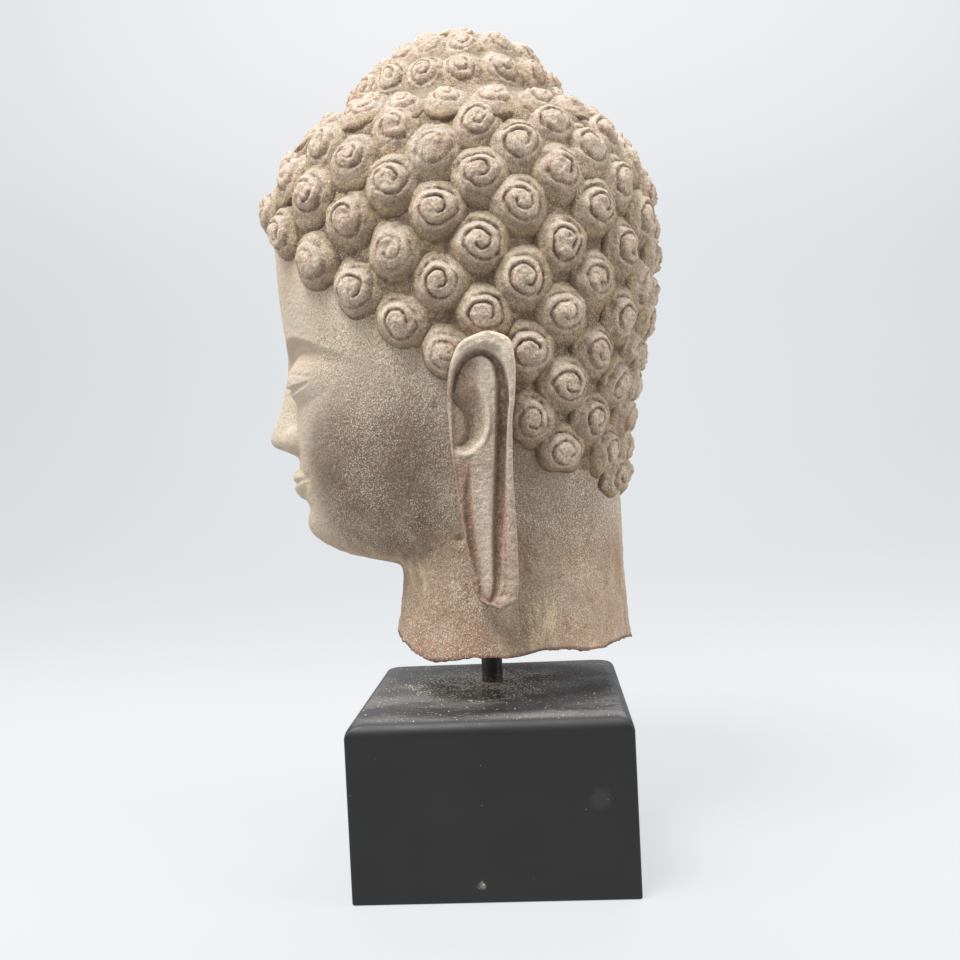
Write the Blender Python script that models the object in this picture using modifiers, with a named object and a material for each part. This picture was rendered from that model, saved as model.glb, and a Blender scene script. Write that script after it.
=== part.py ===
"""Stone Buddha head held on a plinth by a rod, in metres.

+Z is up, the face looks toward -Y and the head's left side is toward +X.
The origin is the middle of the plinth's underside.
"""

import math
import random

import bmesh
import bpy
from mathutils import Matrix, Vector

# ------------------------------------------------------------------ named sizes
NAME = "stone_buddha_head"

PLINTH_SIDE = 0.150
PLINTH_HEIGHT = 0.095
PLINTH_TOP_ROUND = 0.0085
PLINTH_EDGE_ROUND = 0.0012

ROD_X = -0.017
ROD_Y = -0.0015
ROD_RADIUS = 0.00625
ROD_CHAMFER = 0.0006
ROD_IN_PLINTH = 0.030
ROD_TOP = 0.1875
GAP = 0.0003
KEEP_SHARE = 0.569

HEAD_X = ROD_X
# The head's sizes below are drawn a little small; this enlarges them about one point.
HEAD_SIZE = 1.028
HEAD_PIVOT = (HEAD_X, 0.033, 0.231)
AXIS_Y = 0.005
NECK_UNDERSIDE = 0.1255
SECTION_POWER = 2.15
COLUMNS = 42
FRONT_CROWDING = 0.56

# Face heights, on thirds from the hairline to the chin.
HAIRLINE = 0.352
THIRD = 0.057
BROW = HAIRLINE - THIRD
NOSE_BASE = BROW - THIRD
CHIN = NOSE_BASE - THIRD
EYE = BROW - 0.31 * THIRD
MOUTH = NOSE_BASE - THIRD / 3.0
EYE_HALF = 0.0155
EYE_OUT = 0.0310
MOUTH_HALF = 0.0235

# Height, front (-y), back (+y) and half breadth of the skull under the curls.
SKULL = (
    (0.166, 0.030, 0.010, 0.015),
    (0.171, 0.052, 0.018, 0.030),
    (0.175, 0.070, 0.026, 0.038),
    (0.179, 0.083, 0.032, 0.0435),
    (0.184, 0.0905, 0.040, 0.048),
    (0.191, 0.0955, 0.048, 0.0525),
    (0.203, 0.099, 0.060, 0.0585),
    (0.220, 0.1015, 0.072, 0.064),
    (0.240, 0.1035, 0.079, 0.0695),
    (0.262, 0.1055, 0.083, 0.074),
    (0.285, 0.108, 0.089, 0.077),
    (0.303, 0.1105, 0.094, 0.0795),
    (0.331, 0.113, 0.097, 0.0815),
    (0.356, 0.1135, 0.098, 0.0825),
    (0.373, 0.1118, 0.0965, 0.0815),
    (0.391, 0.1018, 0.0885, 0.0785),
    (0.405, 0.0955, 0.0795, 0.0735),
    (0.416, 0.076, 0.0605, 0.062),
    (0.426, 0.0605, 0.041, 0.050),
    (0.436, 0.039, 0.029, 0.036),
    (0.444, 0.026, 0.018, 0.022),
)
USHNISHA = (
    (0.400, 0.066, 0.058, 0.056),
    (0.425, 0.062, 0.0525, 0.054),
    (0.436, 0.0605, 0.048, 0.050),
    (0.446, 0.0505, 0.0410, 0.043),
    (0.454, 0.0398, 0.0345, 0.036),
    (0.460, 0.034, 0.024, 0.026),
    (0.464, 0.022, 0.012, 0.016),
    (0.4665, 0.011, 0.001, 0.007),
)
NECK = (
    (0.112, 0.0575, 0.083, 0.0635),
    (0.133, 0.0535, 0.0800, 0.060),
    (0.145, 0.0510, 0.0793, 0.0585),
    (0.165, 0.0492, 0.0785, 0.057),
    (0.200, 0.0485, 0.0775, 0.056),
    (0.230, 0.0450, 0.072, 0.050),
    (0.260, 0.0400, 0.060, 0.040),
)
# The broken edge under the neck: angle from the face (degrees) and height above the mean.
BROKEN_EDGE = (
    (0.0, 0.0060),
    (15.0, 0.0050),
    (30.0, 0.0030),
    (40.0, 0.0004),
    (55.0, -0.0014),
    (67.0, -0.0034),
    (75.0, -0.0040),
    (90.0, -0.0028),
    (105.0, -0.0002),
    (114.0, 0.0012),
    (126.0, 0.0008),
    (137.0, -0.0014),
    (148.0, -0.0034),
    (163.0, -0.0024),
    (180.0, -0.0010),
)
ROW_HEIGHTS = (
    0.136, 0.150, 0.163, 0.172, 0.176, 0.180, 0.184, 0.190, 0.196, 0.203, 0.209, 0.2135, 0.219,
    0.2245, 0.230, 0.236, 0.240, 0.245, 0.252, 0.260, 0.268, 0.273, 0.278, 0.284, 0.290, 0.2945,
    0.299, 0.306, 0.320, 0.336, 0.356, 0.376, 0.396, 0.412, 0.426, 0.438, 0.448, 0.456, 0.462,
    0.4655,
)

# Rows of curls: height, number round the head, shift in steps, radius.
CURL_ROWS = (
    (0.2165, 14, 0.0, 0.0132),
    (0.232, 14, 0.5, 0.0135),
    (0.248, 14, 0.0, 0.0140),
    (0.266, 14, 0.5, 0.0140),
    (0.283, 14, 0.0, 0.0142),
    (0.301, 14, 0.5, 0.0144),
    (0.3185, 14, 0.0, 0.0145),
    (0.336, 14, 0.5, 0.0145),
    (0.3545, 14, 0.0, 0.0145),
    (0.3705, 14, 0.5, 0.0142),
    (0.384, 14, 0.0, 0.0136),
    (0.3965, 14, 0.5, 0.0130),
    (0.411, 20, 0.0, 0.0118),
    (0.4225, 20, 0.5, 0.0108),
    (0.433, 17, 0.1, 0.0112),
    (0.4495, 14, -0.2, 0.0100),
    (0.4605, 8, 0.3, 0.0090),
)
# This row only fills the shelf before and behind the topknot, outside these angles (degrees).
SHELF_ROW = 0.4225
SHELF_OUTSIDE = (48.0, 138.0)
# Angle from the face (degrees) and the lowest curl centre there.
HAIR_EDGE = (
    (0.0, 0.364),
    (14.0, 0.362),
    (26.0, 0.352),
    (39.0, 0.335),
    (52.0, 0.3165),
    (65.0, 0.298),
    (78.0, 0.281),
    (96.0, 0.281),
    (103.0, 0.245),
    (116.0, 0.232),
    (130.0, 0.226),
    (154.0, 0.2165),
    (180.0, 0.2165),
)
CURL_SIDES = 7
CURL_HEIGHT = 0.66
CURL_SINK = 0.0035
CURL_JITTER = 0.0009
CURL_SPREAD = (5.0, 2.5)
CURL_SHIFT = 3.0
NAPE_DRIFT = 4.0
CROWN_ROWS_FROM = 0.410
KNOB_RADIUS = 0.0145
KNOB_Y = -0.0060
KNOB_Z = 0.4655
KNOB_HEIGHT = 0.0105

# Ear: height, front edge (y), back edge (y) and how far each edge stands from mid-head (x).
EAR = (
    (0.1513, 0.0003, 0.0165, 0.0675, 0.0730),
    (0.1560, -0.0025, 0.0183, 0.0672, 0.0740),
    (0.1680, -0.0055, 0.0197, 0.0672, 0.0755),
    (0.1868, -0.0075, 0.0197, 0.0680, 0.0770),
    (0.2163, -0.0108, 0.0193, 0.0710, 0.0800),
    (0.2458, -0.0125, 0.0202, 0.0755, 0.0850),
    (0.2596, -0.0125, 0.0222, 0.0785, 0.0875),
    (0.2733, -0.0107, 0.0232, 0.0820, 0.0895),
    (0.2842, -0.0060, 0.0222, 0.0860, 0.0905),
    (0.2887, -0.0015, 0.0198, 0.0880, 0.0905),
    (0.2915, 0.0034, 0.0168, 0.0890, 0.0900),
)
EAR_ROWS = 17
EAR_COLUMNS = (0.0, 0.08, 0.20, 0.34, 0.48, 0.60, 0.71, 0.81, 0.92, 1.0)
EAR_ROOT = 0.044
EAR_ROOT_SCALE = 0.80
EAR_RIM = 0.0018
EAR_CHANNEL = 0.0050
EAR_BOWL = 0.0050
EAR_SLOT = 0.0016
EAR_END_ROUND = 0.0030

random.seed(31)


# ------------------------------------------------------------------ helpers
def material(name, colour, roughness):
    mat = bpy.data.materials.new(name)
    mat.use_nodes = True
    shader = mat.node_tree.nodes["Principled BSDF"]
    shader.inputs["Base Color"].default_value = (*colour, 1.0)
    shader.inputs["Roughness"].default_value = roughness
    return mat


def make(name, bm, collection, mat=None, head=False):
    bmesh.ops.recalc_face_normals(bm, faces=bm.faces)
    if head:
        pivot = Matrix.Translation(HEAD_PIVOT)
        enlarge = pivot @ Matrix.Scale(HEAD_SIZE, 4) @ pivot.inverted()
        bmesh.ops.transform(bm, matrix=enlarge, verts=bm.verts)
    mesh = bpy.data.meshes.new(name)
    bm.to_mesh(mesh)
    bm.free()
    obj = bpy.data.objects.new(name, mesh)
    collection.objects.link(obj)
    if mat is not None:
        mesh.materials.append(mat)
    return obj


def ease(table, height, column):
    """A smooth, monotone curve through one column of a table of heights."""
    xs = [row[0] for row in table]
    ys = [row[column] for row in table]
    height = min(max(height, xs[0]), xs[-1])
    i = 0
    while i < len(xs) - 2 and height > xs[i + 1]:
        i += 1
    steps = [xs[k + 1] - xs[k] for k in range(len(xs) - 1)]
    slopes = [(ys[k + 1] - ys[k]) / steps[k] for k in range(len(steps))]

    def tangent(k):
        if k == 0:
            return slopes[0]
        if k == len(xs) - 1:
            return slopes[-1]
        a, b = slopes[k - 1], slopes[k]
        if a * b <= 0.0:
            return 0.0
        return 2.0 * a * b / (a + b)

    h = steps[i]
    t = (height - xs[i]) / h
    value = (1.0 + 2.0 * t) * (1.0 - t) ** 2 * ys[i]
    value += t * (1.0 - t) ** 2 * h * tangent(i)
    value += t * t * (3.0 - 2.0 * t) * ys[i + 1]
    value += t * t * (t - 1.0) * h * tangent(i + 1)
    return value


def bell(value, width):
    return math.exp(-((value / width) ** 2))


def hump(x, z, rx, rz):
    """Height, 0 to 1, of a half ellipsoid over a point from its middle."""
    return math.sqrt(max(0.0, 1.0 - (x / rx) ** 2 - (z / rz) ** 2))


def blend(a, b, width):
    """The larger of two lengths, with the corner between them filled."""
    return 0.5 * (a + b + math.sqrt((a - b) ** 2 + width * width))


# ------------------------------------------------------------------ the head's form
def oval(angle, front, back, half, power):
    reach = front + AXIS_Y if math.cos(angle) > 0.0 else back - AXIS_Y
    side = abs(math.sin(angle) / half) ** power
    deep = abs(math.cos(angle) / max(reach, 0.001)) ** power
    return (side + deep) ** (-1.0 / power)


def table_radius(table, angle, height, power):
    sizes = [ease(table, height, column) for column in (1, 2, 3)]
    return oval(angle, *sizes, power)


def rise(value, width):
    """A smooth step from 0 to 1."""
    return 1.0 / (1.0 + math.exp(-max(-40.0, min(40.0, value / width))))


def clamp(value):
    return min(1.0, max(0.0, value))


def core_radius(angle, height):
    """Distance of the smooth stone from the upright axis, before features and curls."""
    neck = table_radius(NECK, angle, height, 2.1)
    if height < SKULL[0][0]:
        return neck
    radius = 0.0
    if height < SKULL[-1][0]:
        radius = table_radius(SKULL, angle, height, SECTION_POWER)
    if height < 0.262:
        fillet = 0.008 * clamp((0.262 - height) / 0.040) * clamp((height - 0.160) / 0.012)
        radius = blend(radius, neck, fillet)
    if height > 0.400:
        radius = blend(radius, table_radius(USHNISHA, angle, height, 2.0), 0.004)
    return radius


def brow_line(x):
    away = (x - EYE_OUT - 0.001) / 0.026
    return BROW + 0.0035 - 0.0105 * away * away


# Height over the base of the nose, and how far the ridge stands out there.
NOSE_RIDGE = (
    (-0.012, 0.0),
    (-0.005, 0.0015),
    (-0.001, 0.0085),
    (0.0035, 0.0180),
    (0.0075, 0.0198),
    (0.012, 0.0185),
    (0.022, 0.0135),
    (0.034, 0.0088),
    (0.044, 0.0052),
    (0.052, 0.0030),
    (0.061, 0.0010),
    (0.072, 0.0),
)


def nose_relief(x, z):
    up = z - NOSE_BASE
    ridge = ease(NOSE_RIDGE, up, 1)
    breadth = 0.0072 + 0.0030 * bell(up - 0.005, 0.012) - 0.0006 * bell(up - 0.040, 0.012)
    body = 0.86 * ridge * math.exp(-0.75 * (x / breadth) ** 2.6) + 0.165 * ridge * bell(x, 0.017)
    wing = 0.0118 * hump(x - 0.0118, up - 0.0062, 0.0080, 0.0092) ** 1.5
    return max(0.0, blend(body, wing, 0.0030) - 0.0015) * rise(up + 0.006, 0.001)


def eye_relief(x, z):
    away = x - EYE_OUT
    below = brow_line(x) - z
    fade = bell(away, 0.0275) * bell(max(0.0, below - 0.007), 0.016) * (1.0 - bell(x, 0.0075))
    socket = -0.0062 * rise(below, 0.0011) * fade
    ridge = 0.0012 * bell(below + 0.0014, 0.0022) * bell(away, 0.026) * (1.0 - bell(x, 0.006))
    ball = 0.0080 * hump(away, z - EYE - 0.0005, 0.0235, 0.0158) ** 2.6
    lid = 0.0
    if abs(away) < EYE_HALF:
        line = EYE - 0.0035 - 0.0022 * (1.0 - (away / EYE_HALF) ** 2)
        lid = -0.0010 * bell(z - line, 0.0018)
    return socket + ridge + ball + lid


def mouth_relief(x, z):
    reach = max(0.0, 1.0 - (x / MOUTH_HALF) ** 2)
    line = MOUTH + 0.0030 * (x / MOUTH_HALF) ** 2 - 0.0006 * bell(x, 0.004)
    relief = 0.0050 * bell(x, 0.027) * bell(z - MOUTH - 0.002, 0.020)
    upper = 0.0085 * reach ** 0.75 * (1.0 - 0.16 * bell(x, 0.0035))
    lower = 0.0095 * reach ** 0.65
    if z >= line:
        share = clamp((z - line) / max(upper, 0.0001))
        relief += 0.0046 * reach ** 0.6 * math.sqrt(1.0 - share ** 2.2)
    else:
        share = clamp((line - z) / max(lower, 0.0001))
        relief += 0.0048 * reach ** 0.6 * math.sqrt(1.0 - share ** 2.2)
    relief -= 0.0022 * reach ** 0.4 * bell(z - line, 0.0014)
    return relief - 0.0016 * bell(x - MOUTH_HALF - 0.0005, 0.0032) * bell(z - line, 0.0030)


def face_relief(x, z):
    """How far the carved face stands forward of the smooth stone."""
    x = abs(x)
    relief = nose_relief(x, z) + mouth_relief(x, z) + eye_relief(x, z)
    relief += 0.0064 * bell(x, 0.0175) * bell(z - CHIN - 0.0105, 0.0120)
    relief -= 0.0022 * bell(x, 0.015) * bell(z - MOUTH + 0.0145, 0.0045)
    relief += 0.0028 * bell(x - 0.043, 0.019) * bell(z - NOSE_BASE - 0.004, 0.022)
    gate = rise(HAIRLINE - 0.012 - z, 0.004) * rise(z - CHIN + 0.004, 0.0015)
    return relief * gate * rise(0.066 - x, 0.003)


def stone_point(angle, height):
    radius = core_radius(angle, height)
    x = radius * math.sin(angle)
    y = AXIS_Y - radius * math.cos(angle)
    if math.cos(angle) > 0.0:
        y -= face_relief(x, height)
    return Vector((HEAD_X + x, y, height))


def underside_height(angle):
    """The broken edge under the neck dips and rises round the ring."""
    around = abs((math.degrees(angle) + 180.0) % 360.0 - 180.0)
    wave = 0.0016 * math.sin(5.0 * angle + 0.8) + 0.0010 * math.sin(9.0 * angle + 2.0)
    return NECK_UNDERSIDE + ease(BROKEN_EDGE, around, 1) + wave


def column_angles():
    out = []
    for i in range(COLUMNS):
        t = 2.0 * math.pi * i / COLUMNS
        out.append(t - FRONT_CROWDING * math.sin(t))
    return out


def build_core(collection, mat):
    """Loft the head and neck through level sections, closed by a broken underside and a crown."""
    bm = bmesh.new()
    angles = column_angles()
    rings = []
    inner = []
    for scale, lift in ((0.55, 0.004), (0.86, 0.0015)):
        ring = []
        for a in angles:
            z = underside_height(a) + lift
            p = stone_point(a, z)
            p.x = ROD_X + (p.x - ROD_X) * scale
            p.y = ROD_Y + (p.y - ROD_Y) * scale
            ring.append(bm.verts.new(p))
        inner.append(ring)
    rings.extend(inner)
    rings.append([bm.verts.new(stone_point(a, underside_height(a))) for a in angles])
    for height in ROW_HEIGHTS:
        rings.append([bm.verts.new(stone_point(a, height)) for a in angles])
    for low, high in zip(rings, rings[1:]):
        for i in range(COLUMNS):
            j = (i + 1) % COLUMNS
            bm.faces.new((low[i], low[j], high[j], high[i]))
    bm.faces.new(rings[0])
    top = bm.verts.new(Vector((HEAD_X, -0.005, 0.4668)))
    last = rings[-1]
    for i in range(COLUMNS):
        bm.faces.new((last[i], last[(i + 1) % COLUMNS], top))
    return make("stone_head", bm, collection, mat, head=True)


# ------------------------------------------------------------------ curls
def outward(angle, height):
    step = 0.002
    a = core_point(angle + 0.03, height) - core_point(angle - 0.03, height)
    b = core_point(angle, height + step) - core_point(angle, height - step)
    return a.cross(b).normalized()


def core_point(angle, height):
    radius = core_radius(angle, height)
    return Vector((HEAD_X + radius * math.sin(angle), AXIS_Y - radius * math.cos(angle), height))


def add_curl(bm, centre, normal, radius, height):
    """A low snail-shell knob: a shoulder, a crown and a small dimple, sunk a little at its foot."""
    turn = normal.to_track_quat("Z", "Y").to_matrix().to_4x4()
    place = Matrix.Translation(centre) @ turn
    spin = random.uniform(0.0, 2.0 * math.pi)
    rings = []
    for share, lift in ((1.0, -CURL_SINK), (0.90, 0.50 * height), (0.46, height)):
        ring = []
        for i in range(CURL_SIDES):
            a = spin + 2.0 * math.pi * i / CURL_SIDES
            p = Vector((share * radius * math.cos(a), share * radius * math.sin(a), lift))
            ring.append(bm.verts.new(place @ p))
        rings.append(ring)
    for low, high in zip(rings, rings[1:]):
        for i in range(CURL_SIDES):
            j = (i + 1) % CURL_SIDES
            bm.faces.new((low[i], low[j], high[j], high[i]))
    bm.faces.new(rings[0])
    dimple = bm.verts.new(place @ Vector((0.0, 0.0, height * 0.90)))
    for i in range(CURL_SIDES):
        bm.faces.new((rings[-1][i], rings[-1][(i + 1) % CURL_SIDES], dimple))


def crown_angle(degrees, height):
    """Angle about the head's axis of an even step round the oval of the topknot."""
    front, back, half = [ease(USHNISHA, height, column) for column in (1, 2, 3)]
    turn = math.radians(degrees)
    x = half * math.sin(turn)
    y = 0.5 * (back - front) - 0.5 * (back + front) * math.cos(turn)
    return math.degrees(math.atan2(x, AXIS_Y - y))


def curl_angles(height, count, shift):
    step = 360.0 / count
    if height > CROWN_ROWS_FROM:
        return [crown_angle((k + shift) * step - 180.0, height) for k in range(count)]
    out = []
    for k in range(count):
        angle = (k + shift) * step
        if angle > 180.1:
            break
        low = clamp((0.300 - height) / 0.035)
        spread = CURL_SPREAD[0] if angle < 90.0 else CURL_SPREAD[1] + NAPE_DRIFT * low
        moved = angle + spread * math.sin(math.radians((angle - 90.0) * 2.0))
        moved += CURL_SHIFT * math.sin(math.radians(angle))
        out.append(moved)
        if 1.0 < angle < 179.0:
            out.append(-moved)
    return out


def build_curls(collection):
    for row, (height, count, shift, radius) in enumerate(CURL_ROWS):
        bm = bmesh.new()
        placed = 0
        for degrees in curl_angles(height, count, shift):
            if height < ease(HAIR_EDGE, abs(degrees), 1) - 0.004:
                continue
            if height == SHELF_ROW and SHELF_OUTSIDE[0] < abs(degrees) < SHELF_OUTSIDE[1]:
                continue
            angle = math.radians(degrees) + random.uniform(-1.0, 1.0) * CURL_JITTER / 0.09
            z = height + random.uniform(-1.0, 1.0) * CURL_JITTER
            size = radius * random.uniform(0.96, 1.04)
            add_curl(bm, core_point(angle, z), outward(angle, z), size, size * CURL_HEIGHT)
            placed += 1
        if placed:
            make("curl_row_%02d" % row, bm, collection, head=True)
    bm = bmesh.new()
    knob = Vector((HEAD_X, KNOB_Y, KNOB_Z))
    add_curl(bm, knob, Vector((0.0, 0.0, 1.0)), KNOB_RADIUS, KNOB_HEIGHT)
    make("curl_knob", bm, collection, head=True)


# ------------------------------------------------------------------ ears
def ear_relief(u, v):
    """Height of the ear's carving: a rolled rim, the channel inside it, the bowl with its flap, the lobe's slot."""
    along = 0.60 + 0.24 * clamp(v / 0.70)
    channel = bell(u - along, 0.05 + 0.06 * clamp(v / 0.4)) * clamp(v / 0.25) * clamp((0.93 - v) / 0.06)
    arch = bell(v - 0.915, 0.035) * clamp((u - 0.15) / 0.15) * clamp((0.95 - u) / 0.12)
    rim = min(1.0, bell(u - 1.0, 0.12) + bell(v - 1.0, 0.06))
    flap = bell(u - 0.10, 0.15) * bell(v - 0.68, 0.09)
    bowl = bell(u - 0.32, 0.20) * bell(v - 0.69, 0.11) * (1.0 - flap)
    slot = bell(u - 0.22, 0.10) * clamp((0.50 - v) / 0.08) * clamp((v - 0.06) / 0.06)
    depth = EAR_CHANNEL * max(channel, 0.8 * arch) + EAR_BOWL * bowl + EAR_SLOT * slot
    return EAR_RIM * rim - depth


def build_ear(name, side, collection):
    """Loft the ear as a carved slab between its front and back edges, rooted in the head."""
    bm = bmesh.new()
    low = EAR[0][0]
    high = EAR[-1][0]
    face = []
    root = []
    for i in range(EAR_ROWS):
        s = i / (EAR_ROWS - 1)
        v = 0.5 - 0.5 * math.cos(math.pi * s)
        v = 0.35 * v + 0.65 * s
        z = low + (high - low) * v
        y0 = ease(EAR, z, 1)
        y1 = ease(EAR, z, 2)
        near = ease(EAR, z, 3)
        far = ease(EAR, z, 4)
        middle = 0.5 * (y0 + y1)
        face_row = []
        root_row = []
        for u in EAR_COLUMNS:
            y = y0 + (y1 - y0) * u
            edge = 0.0015 * (max(0.0, abs(u - 0.5) - 0.42) / 0.08) ** 2
            x = near + (far - near) * u**0.85 + ear_relief(u, v) - edge
            if i in (0, EAR_ROWS - 1):
                x -= EAR_END_ROUND
            face_row.append(bm.verts.new(Vector((HEAD_X + side * x, y, z))))
            tuck = 0.002 if i == EAR_ROWS - 1 else 0.0
            back_y = middle + (y - middle) * EAR_ROOT_SCALE
            back_z = z - tuck + (0.004 if i == 0 else 0.0)
            root_row.append(bm.verts.new(Vector((HEAD_X + side * EAR_ROOT, back_y, back_z))))
        face.append(face_row)
        root.append(root_row)
    columns = len(EAR_COLUMNS)
    for grid in (face, root):
        for i in range(EAR_ROWS - 1):
            for j in range(columns - 1):
                bm.faces.new((grid[i][j], grid[i][j + 1], grid[i + 1][j + 1], grid[i + 1][j]))
    for i in range(EAR_ROWS - 1):
        for j in (0, columns - 1):
            bm.faces.new((face[i][j], face[i + 1][j], root[i + 1][j], root[i][j]))
    for j in range(columns - 1):
        for i in (0, EAR_ROWS - 1):
            bm.faces.new((face[i][j], face[i][j + 1], root[i][j + 1], root[i][j]))
    return make(name, bm, collection, head=True)


# ------------------------------------------------------------------ stand
def cylinder(bm, x, y, low, high, radius, sides):
    centre = Matrix.Translation((x, y, 0.5 * (low + high)))
    return bmesh.ops.create_cone(
        bm, cap_ends=True, segments=sides, radius1=radius, radius2=radius, depth=high - low, matrix=centre
    )


def build_bore(collection):
    bm = bmesh.new()
    low = PLINTH_HEIGHT - ROD_IN_PLINTH - GAP
    high = ROD_TOP + GAP
    cylinder(bm, ROD_X, ROD_Y, low, high, ROD_RADIUS + GAP, 24)
    return make("rod_bore", bm, collection)


def build_rod(collection, mat):
    bm = bmesh.new()
    low = PLINTH_HEIGHT - ROD_IN_PLINTH
    high = ROD_TOP
    cylinder(bm, ROD_X, ROD_Y, low, high, ROD_RADIUS, 24)
    ends = [e for e in bm.edges if abs(e.verts[0].co.z - e.verts[1].co.z) < 1e-6]
    bmesh.ops.bevel(bm, geom=ends, offset=ROD_CHAMFER, segments=1, affect="EDGES", profile=0.5)
    return make("mounting_rod", bm, collection, mat)


def build_plinth(collection, mat):
    """A block whose top edges are rounded over and whose other edges are only broken."""
    bm = bmesh.new()
    bmesh.ops.create_cube(bm, size=1.0)
    scale = Matrix.Diagonal((PLINTH_SIDE, PLINTH_SIDE, PLINTH_HEIGHT, 1.0))
    lift = Matrix.Translation((0.0, 0.0, PLINTH_HEIGHT / 2.0))
    bmesh.ops.transform(bm, matrix=lift @ scale, verts=bm.verts)
    obj = make("black_plinth", bm, collection, mat)
    mesh = obj.data
    weights = mesh.attributes.new("bevel_weight_edge", "FLOAT", "EDGE")
    for edge in mesh.edges:
        heights = [mesh.vertices[i].co.z for i in edge.vertices]
        is_rim = min(heights) > 0.5 * PLINTH_HEIGHT
        weights.data[edge.index].value = 1.0 if is_rim else PLINTH_EDGE_ROUND / PLINTH_TOP_ROUND
    bevel = obj.modifiers.new("rounded edges", "BEVEL")
    bevel.limit_method = "WEIGHT"
    bevel.width = PLINTH_TOP_ROUND
    bevel.segments = 4
    return obj


def boolean(obj, name, operation, operand=None, group=None):
    mod = obj.modifiers.new(name, "BOOLEAN")
    mod.operation = operation
    mod.solver = "EXACT"
    if group is not None:
        mod.operand_type = "COLLECTION"
        mod.collection = group
    else:
        mod.object = operand
    return mod


def new_collection(name, hidden):
    collection = bpy.data.collections.new(name)
    bpy.context.scene.collection.children.link(collection)
    collection.hide_render = hidden
    return collection


def main():
    for obj in list(bpy.data.objects):
        bpy.data.objects.remove(obj, do_unlink=True)
    part = new_collection(NAME, False)
    carving = new_collection("carving", True)
    cutters = new_collection("cutters", True)

    stone = material("grey_brown_stone", (0.30, 0.24, 0.18), 0.85)
    steel = material("black_rod", (0.02, 0.02, 0.02), 0.45)
    black = material("black_paint", (0.022, 0.022, 0.022), 0.50)

    head = build_core(part, stone)
    build_curls(carving)
    build_ear("ear_left", 1.0, carving)
    build_ear("ear_right", -1.0, carving)
    bore = build_bore(cutters)
    for obj in list(carving.objects) + [bore]:
        obj.hide_render = True
        obj.display_type = "WIRE"
    boolean(head, "carving", "UNION", group=carving)
    thin = head.modifiers.new("thin out", "DECIMATE")
    thin.decimate_type = "COLLAPSE"
    thin.ratio = KEEP_SHARE
    boolean(head, "rod bore", "DIFFERENCE", operand=bore)

    build_rod(part, steel)
    plinth = build_plinth(part, black)
    boolean(plinth, "rod bore", "DIFFERENCE", operand=bore)


main()
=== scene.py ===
import itertools
import math
import random

import bpy
import numpy as np
from mathutils import Matrix, Quaternion, Vector


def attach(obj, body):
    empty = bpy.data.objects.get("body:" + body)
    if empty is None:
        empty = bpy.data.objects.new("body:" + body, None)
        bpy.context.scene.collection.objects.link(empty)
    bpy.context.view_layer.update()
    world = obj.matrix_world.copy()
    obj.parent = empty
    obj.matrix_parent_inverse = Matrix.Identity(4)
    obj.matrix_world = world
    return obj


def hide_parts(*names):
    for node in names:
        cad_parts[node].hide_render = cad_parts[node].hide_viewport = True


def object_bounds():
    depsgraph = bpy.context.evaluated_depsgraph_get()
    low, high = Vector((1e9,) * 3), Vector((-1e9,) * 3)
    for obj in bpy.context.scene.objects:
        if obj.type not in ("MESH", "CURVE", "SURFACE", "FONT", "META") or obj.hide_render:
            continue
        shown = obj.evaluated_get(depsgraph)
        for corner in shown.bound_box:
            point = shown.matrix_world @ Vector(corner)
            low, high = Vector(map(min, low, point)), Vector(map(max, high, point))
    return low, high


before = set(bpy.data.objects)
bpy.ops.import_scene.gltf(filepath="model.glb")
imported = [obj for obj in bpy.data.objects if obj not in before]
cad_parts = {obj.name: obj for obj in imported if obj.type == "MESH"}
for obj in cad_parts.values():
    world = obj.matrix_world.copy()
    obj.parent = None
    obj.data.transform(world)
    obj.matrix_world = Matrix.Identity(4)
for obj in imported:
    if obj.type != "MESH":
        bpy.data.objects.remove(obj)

CAD_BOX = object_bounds()


def metres(*rows):
    """Rows given in millimetres, as metres."""
    return tuple(tuple(value / 1000.0 for value in row) for row in rows)


# ---- named sizes (metres)
HEAD_X = -0.017
AXIS_Y = 0.005
HEAD_SIZE = 1.028
HEAD_PIVOT = np.array((HEAD_X, 0.033, 0.231))
NECK_UNDERSIDE = 0.1255
UNDERSIDE_MIDDLE = np.array((HEAD_X, 0.013, NECK_UNDERSIDE))
SKULL_POWER, NECK_POWER, CROWN_POWER = 2.15, 2.1, 2.0
NECK_TOP = 0.262  # the neck is blended into the skull up to here
CROWN_FOOT = 0.4  # and the raised crown from here up
HAIRLINE = 0.352
THIRD = 0.057
BROW = HAIRLINE - THIRD
NOSE_BASE = BROW - THIRD
CHIN = NOSE_BASE - THIRD
EYE = BROW - 0.31 * THIRD
MOUTH = NOSE_BASE - THIRD / 3.0
EYE_HALF = 0.0155
EYE_OUT = 0.031
MOUTH_HALF = 0.0235

PLINTH_SIDE = 0.15
PLINTH_HEIGHT = 0.095
PLINTH_TOP_ROUND = 0.0085
PLINTH_EDGE_ROUND = 0.0012
PLINTH_HOLD = 0.0006  # rings this near each bend keep the flat sides flat
EDGE_STEPS, TOP_STEPS, CORNER_STEPS = 4, 16, 8

# How finely the head is divided: columns, then from, to and step of its level rows.
CORE_COLUMNS = 384
CORE_ROWS = metres(
    (136.5, 166, 1.3), (166, 178, 0.9), (178, 302, 0.85), (302, 364, 2), (364, 466, 4.2)
)
# Rows between the broken edge and the first level row, as shares of the way.
EDGE_ROWS = (0.0, 0.035, 0.07, 0.11, 0.18, 0.3, 0.46, 0.63, 0.81)
# Rings across the underside: scale and lift.
UNDERSIDE_RINGS = (
    (0.02, 0.006), (0.25, 0.0055), (0.45, 0.005), (0.62, 0.004),
    (0.76, 0.003), (0.87, 0.0018), (0.94, 0.0008), (0.98, 0.0002),
)

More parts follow.
